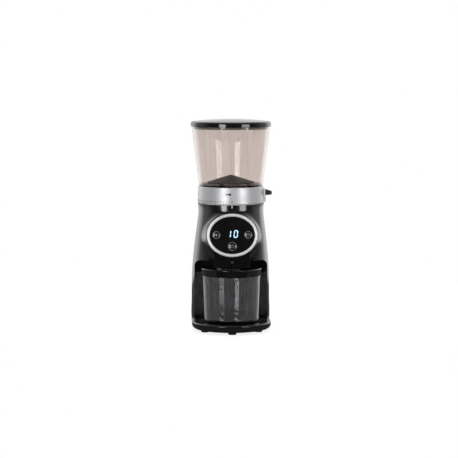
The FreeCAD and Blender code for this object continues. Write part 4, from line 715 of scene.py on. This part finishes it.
# Lid seal: a soft translucent silicone ring in the groove of the lid's plug.
# It grips the hopper's mouth and keeps the beans fresh.
SEAL_GLOW = 0.3
SEAL_DEPTH = (2.0 * MM, 1.6 * MM, 1.2 * MM)
seal = new_finish("silicone", (0.42, 0.39, 0.35), 0.5)
shader_of(seal).inputs["Subsurface Weight"].default_value = SEAL_GLOW
shader_of(seal).inputs["Subsurface Radius"].default_value = SEAL_DEPTH
tone(seal, grain(seal, 3.0 * MM), (0.38, 0.35, 0.31), (0.46, 0.43, 0.39))
mottle(seal, grain(seal, 1.0 * MM), "Roughness", 0.4, 0.6)
relief(seal, grain(seal, 0.5 * MM), 0.006 * MM, 0.2 * MM)
dress(seal, "lid_seal")

# Grounds container: clear plastic with a grey smoke tint, a plain round cup.
# Its thick rim and foot catch the light as bright lines.
dress(clear_plastic("grey_smoked_plastic", (0.58, 0.58, 0.59)), "grounds_container")

# Studio: a white floor, a white surround behind, and soft boxes in front and above.
# The front of the room is dim, so that black gloss stays black between the box reflections.
TABLE_HALF = 0.62
TABLE_FRONT = -0.17
TABLE_BACK = 0.60
FLOOR_GLOW = 0.82
FLOOR_SHADED = (0.40, 0.40, 0.40, 1.0)
FLOOR_DULL = (0.2, 0.2, 0.2, 1.0)
SURROUND_FILL = 0.40
WHITE = (1.0, 1.0, 1.0, 1.0)
floor_mesh = bpy.data.meshes.new("studio_floor")
floor_mesh.from_pydata([(-TABLE_HALF, TABLE_FRONT, 0.0), (TABLE_HALF, TABLE_FRONT, 0.0),
                        (TABLE_HALF, TABLE_BACK, 0.0), (-TABLE_HALF, TABLE_BACK, 0.0)],
                       [], [(0, 1, 2, 3)])
floor = bpy.data.objects.new("studio_floor", floor_mesh)
bpy.context.scene.collection.objects.link(floor)
paper = bpy.data.materials.new("studio_paper")
paper.use_nodes = True
paper_nodes = paper.node_tree.nodes
paper_links = paper.node_tree.links
paper_nodes.clear()
paper_out = paper_nodes.new("ShaderNodeOutputMaterial")
rays = paper_nodes.new("ShaderNodeLightPath")
dull = paper_nodes.new("ShaderNodeBsdfDiffuse")
dull.inputs["Color"].default_value = FLOOR_DULL
shaded = paper_nodes.new("ShaderNodeBsdfDiffuse")
shaded.inputs["Color"].default_value = FLOOR_SHADED
lit = paper_nodes.new("ShaderNodeEmission")
lit.inputs["Strength"].default_value = FLOOR_GLOW
shown = paper_nodes.new("ShaderNodeAddShader")
seen = paper_nodes.new("ShaderNodeMath")
seen.operation = "MAXIMUM"
choice = paper_nodes.new("ShaderNodeMixShader")
paper_links.new(shaded.outputs["BSDF"], shown.inputs[0])
paper_links.new(lit.outputs["Emission"], shown.inputs[1])
paper_links.new(rays.outputs["Is Camera Ray"], seen.inputs[0])
paper_links.new(rays.outputs["Is Transmission Ray"], seen.inputs[1])
paper_links.new(seen.outputs["Value"], choice.inputs["Fac"])
paper_links.new(dull.outputs["BSDF"], choice.inputs[1])
paper_links.new(shown.outputs["Shader"], choice.inputs[2])
paper_links.new(choice.outputs["Shader"], paper_out.inputs["Surface"])
floor_mesh.materials.append(paper)

world = bpy.data.worlds.new("studio")
bpy.context.scene.world = world
world.use_nodes = True
sky_nodes = world.node_tree.nodes
sky_links = world.node_tree.links
sky_nodes.clear()
sky_out = sky_nodes.new("ShaderNodeOutputWorld")
sky_rays = sky_nodes.new("ShaderNodeLightPath")
fill = sky_nodes.new("ShaderNodeBackground")
fill.inputs["Color"].default_value = WHITE
fill.inputs["Strength"].default_value = SURROUND_FILL
white = sky_nodes.new("ShaderNodeBackground")
white.inputs["Color"].default_value = WHITE
white.inputs["Strength"].default_value = 1.0
surround = sky_nodes.new("ShaderNodeBackground")
facing = sky_nodes.new("ShaderNodeTexCoord")
split = sky_nodes.new("ShaderNodeSeparateXYZ")
sky_links.new(facing.outputs["Generated"], split.inputs["Vector"])


def sky_fade(axis, start, stop, low, high):
    """A soft change of the surround's strength between two places along an axis."""
    fade = sky_nodes.new("ShaderNodeMapRange")
    fade.interpolation_type = "SMOOTHSTEP"
    fade.inputs["From Min"].default_value = start
    fade.inputs["From Max"].default_value = stop
    fade.inputs["To Min"].default_value = low
    fade.inputs["To Max"].default_value = high
    sky_links.new(split.outputs[axis], fade.inputs["Value"])
    return fade.outputs["Result"]


def sky_join(operation, first, second):
    """Two strengths of the surround taken together."""
    both = sky_nodes.new("ShaderNodeMath")
    both.operation = operation
    sky_links.new(first, both.inputs[0])
    sky_links.new(second, both.inputs[1])
    return both.outputs["Value"]


beside = sky_fade("Y", start=-0.5, stop=0.2, low=0.04, high=0.85)
behind = sky_fade("Y", start=0.35, stop=0.65, low=0.0, high=1.45)
far_end = sky_fade("Y", start=0.80, stop=0.97, low=0.0, high=-1.15)
above = sky_fade("Z", start=-0.24, stop=-0.12, low=0.15, high=1.0)
around = sky_join("ADD", sky_join("ADD", beside, behind), far_end)
sky_links.new(sky_join("MULTIPLY", around, above), surround.inputs["Strength"])
mirror = sky_nodes.new("ShaderNodeMixShader")
backdrop = sky_nodes.new("ShaderNodeMixShader")
sky_seen = sky_nodes.new("ShaderNodeMath")
sky_seen.operation = "MAXIMUM"
sky_links.new(sky_rays.outputs["Is Glossy Ray"], mirror.inputs["Fac"])
sky_links.new(fill.outputs["Background"], mirror.inputs[1])
sky_links.new(surround.outputs["Background"], mirror.inputs[2])
sky_links.new(sky_rays.outputs["Is Camera Ray"], sky_seen.inputs[0])
sky_links.new(sky_rays.outputs["Is Transmission Ray"], sky_seen.inputs[1])
sky_links.new(sky_seen.outputs["Value"], backdrop.inputs["Fac"])
sky_links.new(mirror.outputs["Shader"], backdrop.inputs[1])
sky_links.new(white.outputs["Background"], backdrop.inputs[2])
sky_links.new(backdrop.outputs["Shader"], sky_out.inputs["Surface"])

MOST_CROSSINGS = 100.0
HALF_A_CROSSING = 0.5


def soft_box(name, place, aim, width, height, power):
    """A soft box, seen in reflections, but not by the camera or straight through clear plastic."""
    lamp = bpy.data.lights.new(name, "AREA")
    lamp.shape = "RECTANGLE"
    lamp.size = width
    lamp.size_y = height
    lamp.energy = power
    lamp.use_nodes = True
    lamp_nodes = lamp.node_tree.nodes
    lamp_links = lamp.node_tree.links
    lamp_rays = lamp_nodes.new("ShaderNodeLightPath")
    mirrored = lamp_nodes.new("ShaderNodeMath")
    mirrored.operation = "MULTIPLY_ADD"
    mirrored.inputs[1].default_value = MOST_CROSSINGS
    mirrored.inputs[2].default_value = HALF_A_CROSSING
    shining = lamp_nodes.new("ShaderNodeMath")
    shining.operation = "LESS_THAN"
    lamp_links.new(lamp_rays.outputs["Glossy Depth"], mirrored.inputs[0])
    lamp_links.new(lamp_rays.outputs["Transmission Depth"], shining.inputs[0])
    lamp_links.new(mirrored.outputs["Value"], shining.inputs[1])
    lamp_links.new(shining.outputs["Value"], lamp_nodes["Emission"].inputs["Strength"])
    box = bpy.data.objects.new(name, lamp)
    bpy.context.scene.collection.objects.link(box)
    box.location = place
    box.rotation_mode = "QUATERNION"
    box.rotation_quaternion = (Vector(aim) - Vector(place)).to_track_quat("-Z", "Y")
    box.visible_camera = False


soft_box("left_box", place=(-0.70, -1.47, 0.425), aim=(0.0, 0.0, 0.425),
         width=0.51, height=1.05, power=14.0)
soft_box("right_box", place=(1.09, -1.30, 0.30), aim=(0.0, 0.0, 0.30),
         width=0.66, height=0.80, power=10.0)
soft_box("top_box", place=(0.0, 0.2, 1.7), aim=(0.0, 0.0, 0.2),
         width=1.2, height=1.2, power=6.0)

# Camera: at the photograph's place, about three metres off and a little to the left.
# It stands higher than the lid and looks slightly down, through a long lens.
CAMERA_PLACE = (-0.1047, -2.9982, 0.455)
CAMERA_AIM = (-0.0032, 0.0, 0.1722)
FOCAL_LENGTH = 138.0
SENSOR_WIDTH = 36.0
FARTHEST_SEEN = 50.0
viewer = bpy.data.cameras.new("photo_camera")
viewer.lens = FOCAL_LENGTH
viewer.sensor_width = SENSOR_WIDTH
viewer.clip_end = FARTHEST_SEEN
camera = bpy.data.objects.new("photo_camera", viewer)
bpy.context.scene.collection.objects.link(camera)
camera.location = CAMERA_PLACE
camera.rotation_mode = "QUATERNION"
camera.rotation_quaternion = (Vector(CAMERA_AIM) - Vector(CAMERA_PLACE)).to_track_quat("-Z", "Y")
bpy.context.scene.camera = camera
bpy.context.scene.view_settings.view_transform = "Standard"

bpy.context.view_layer.update()
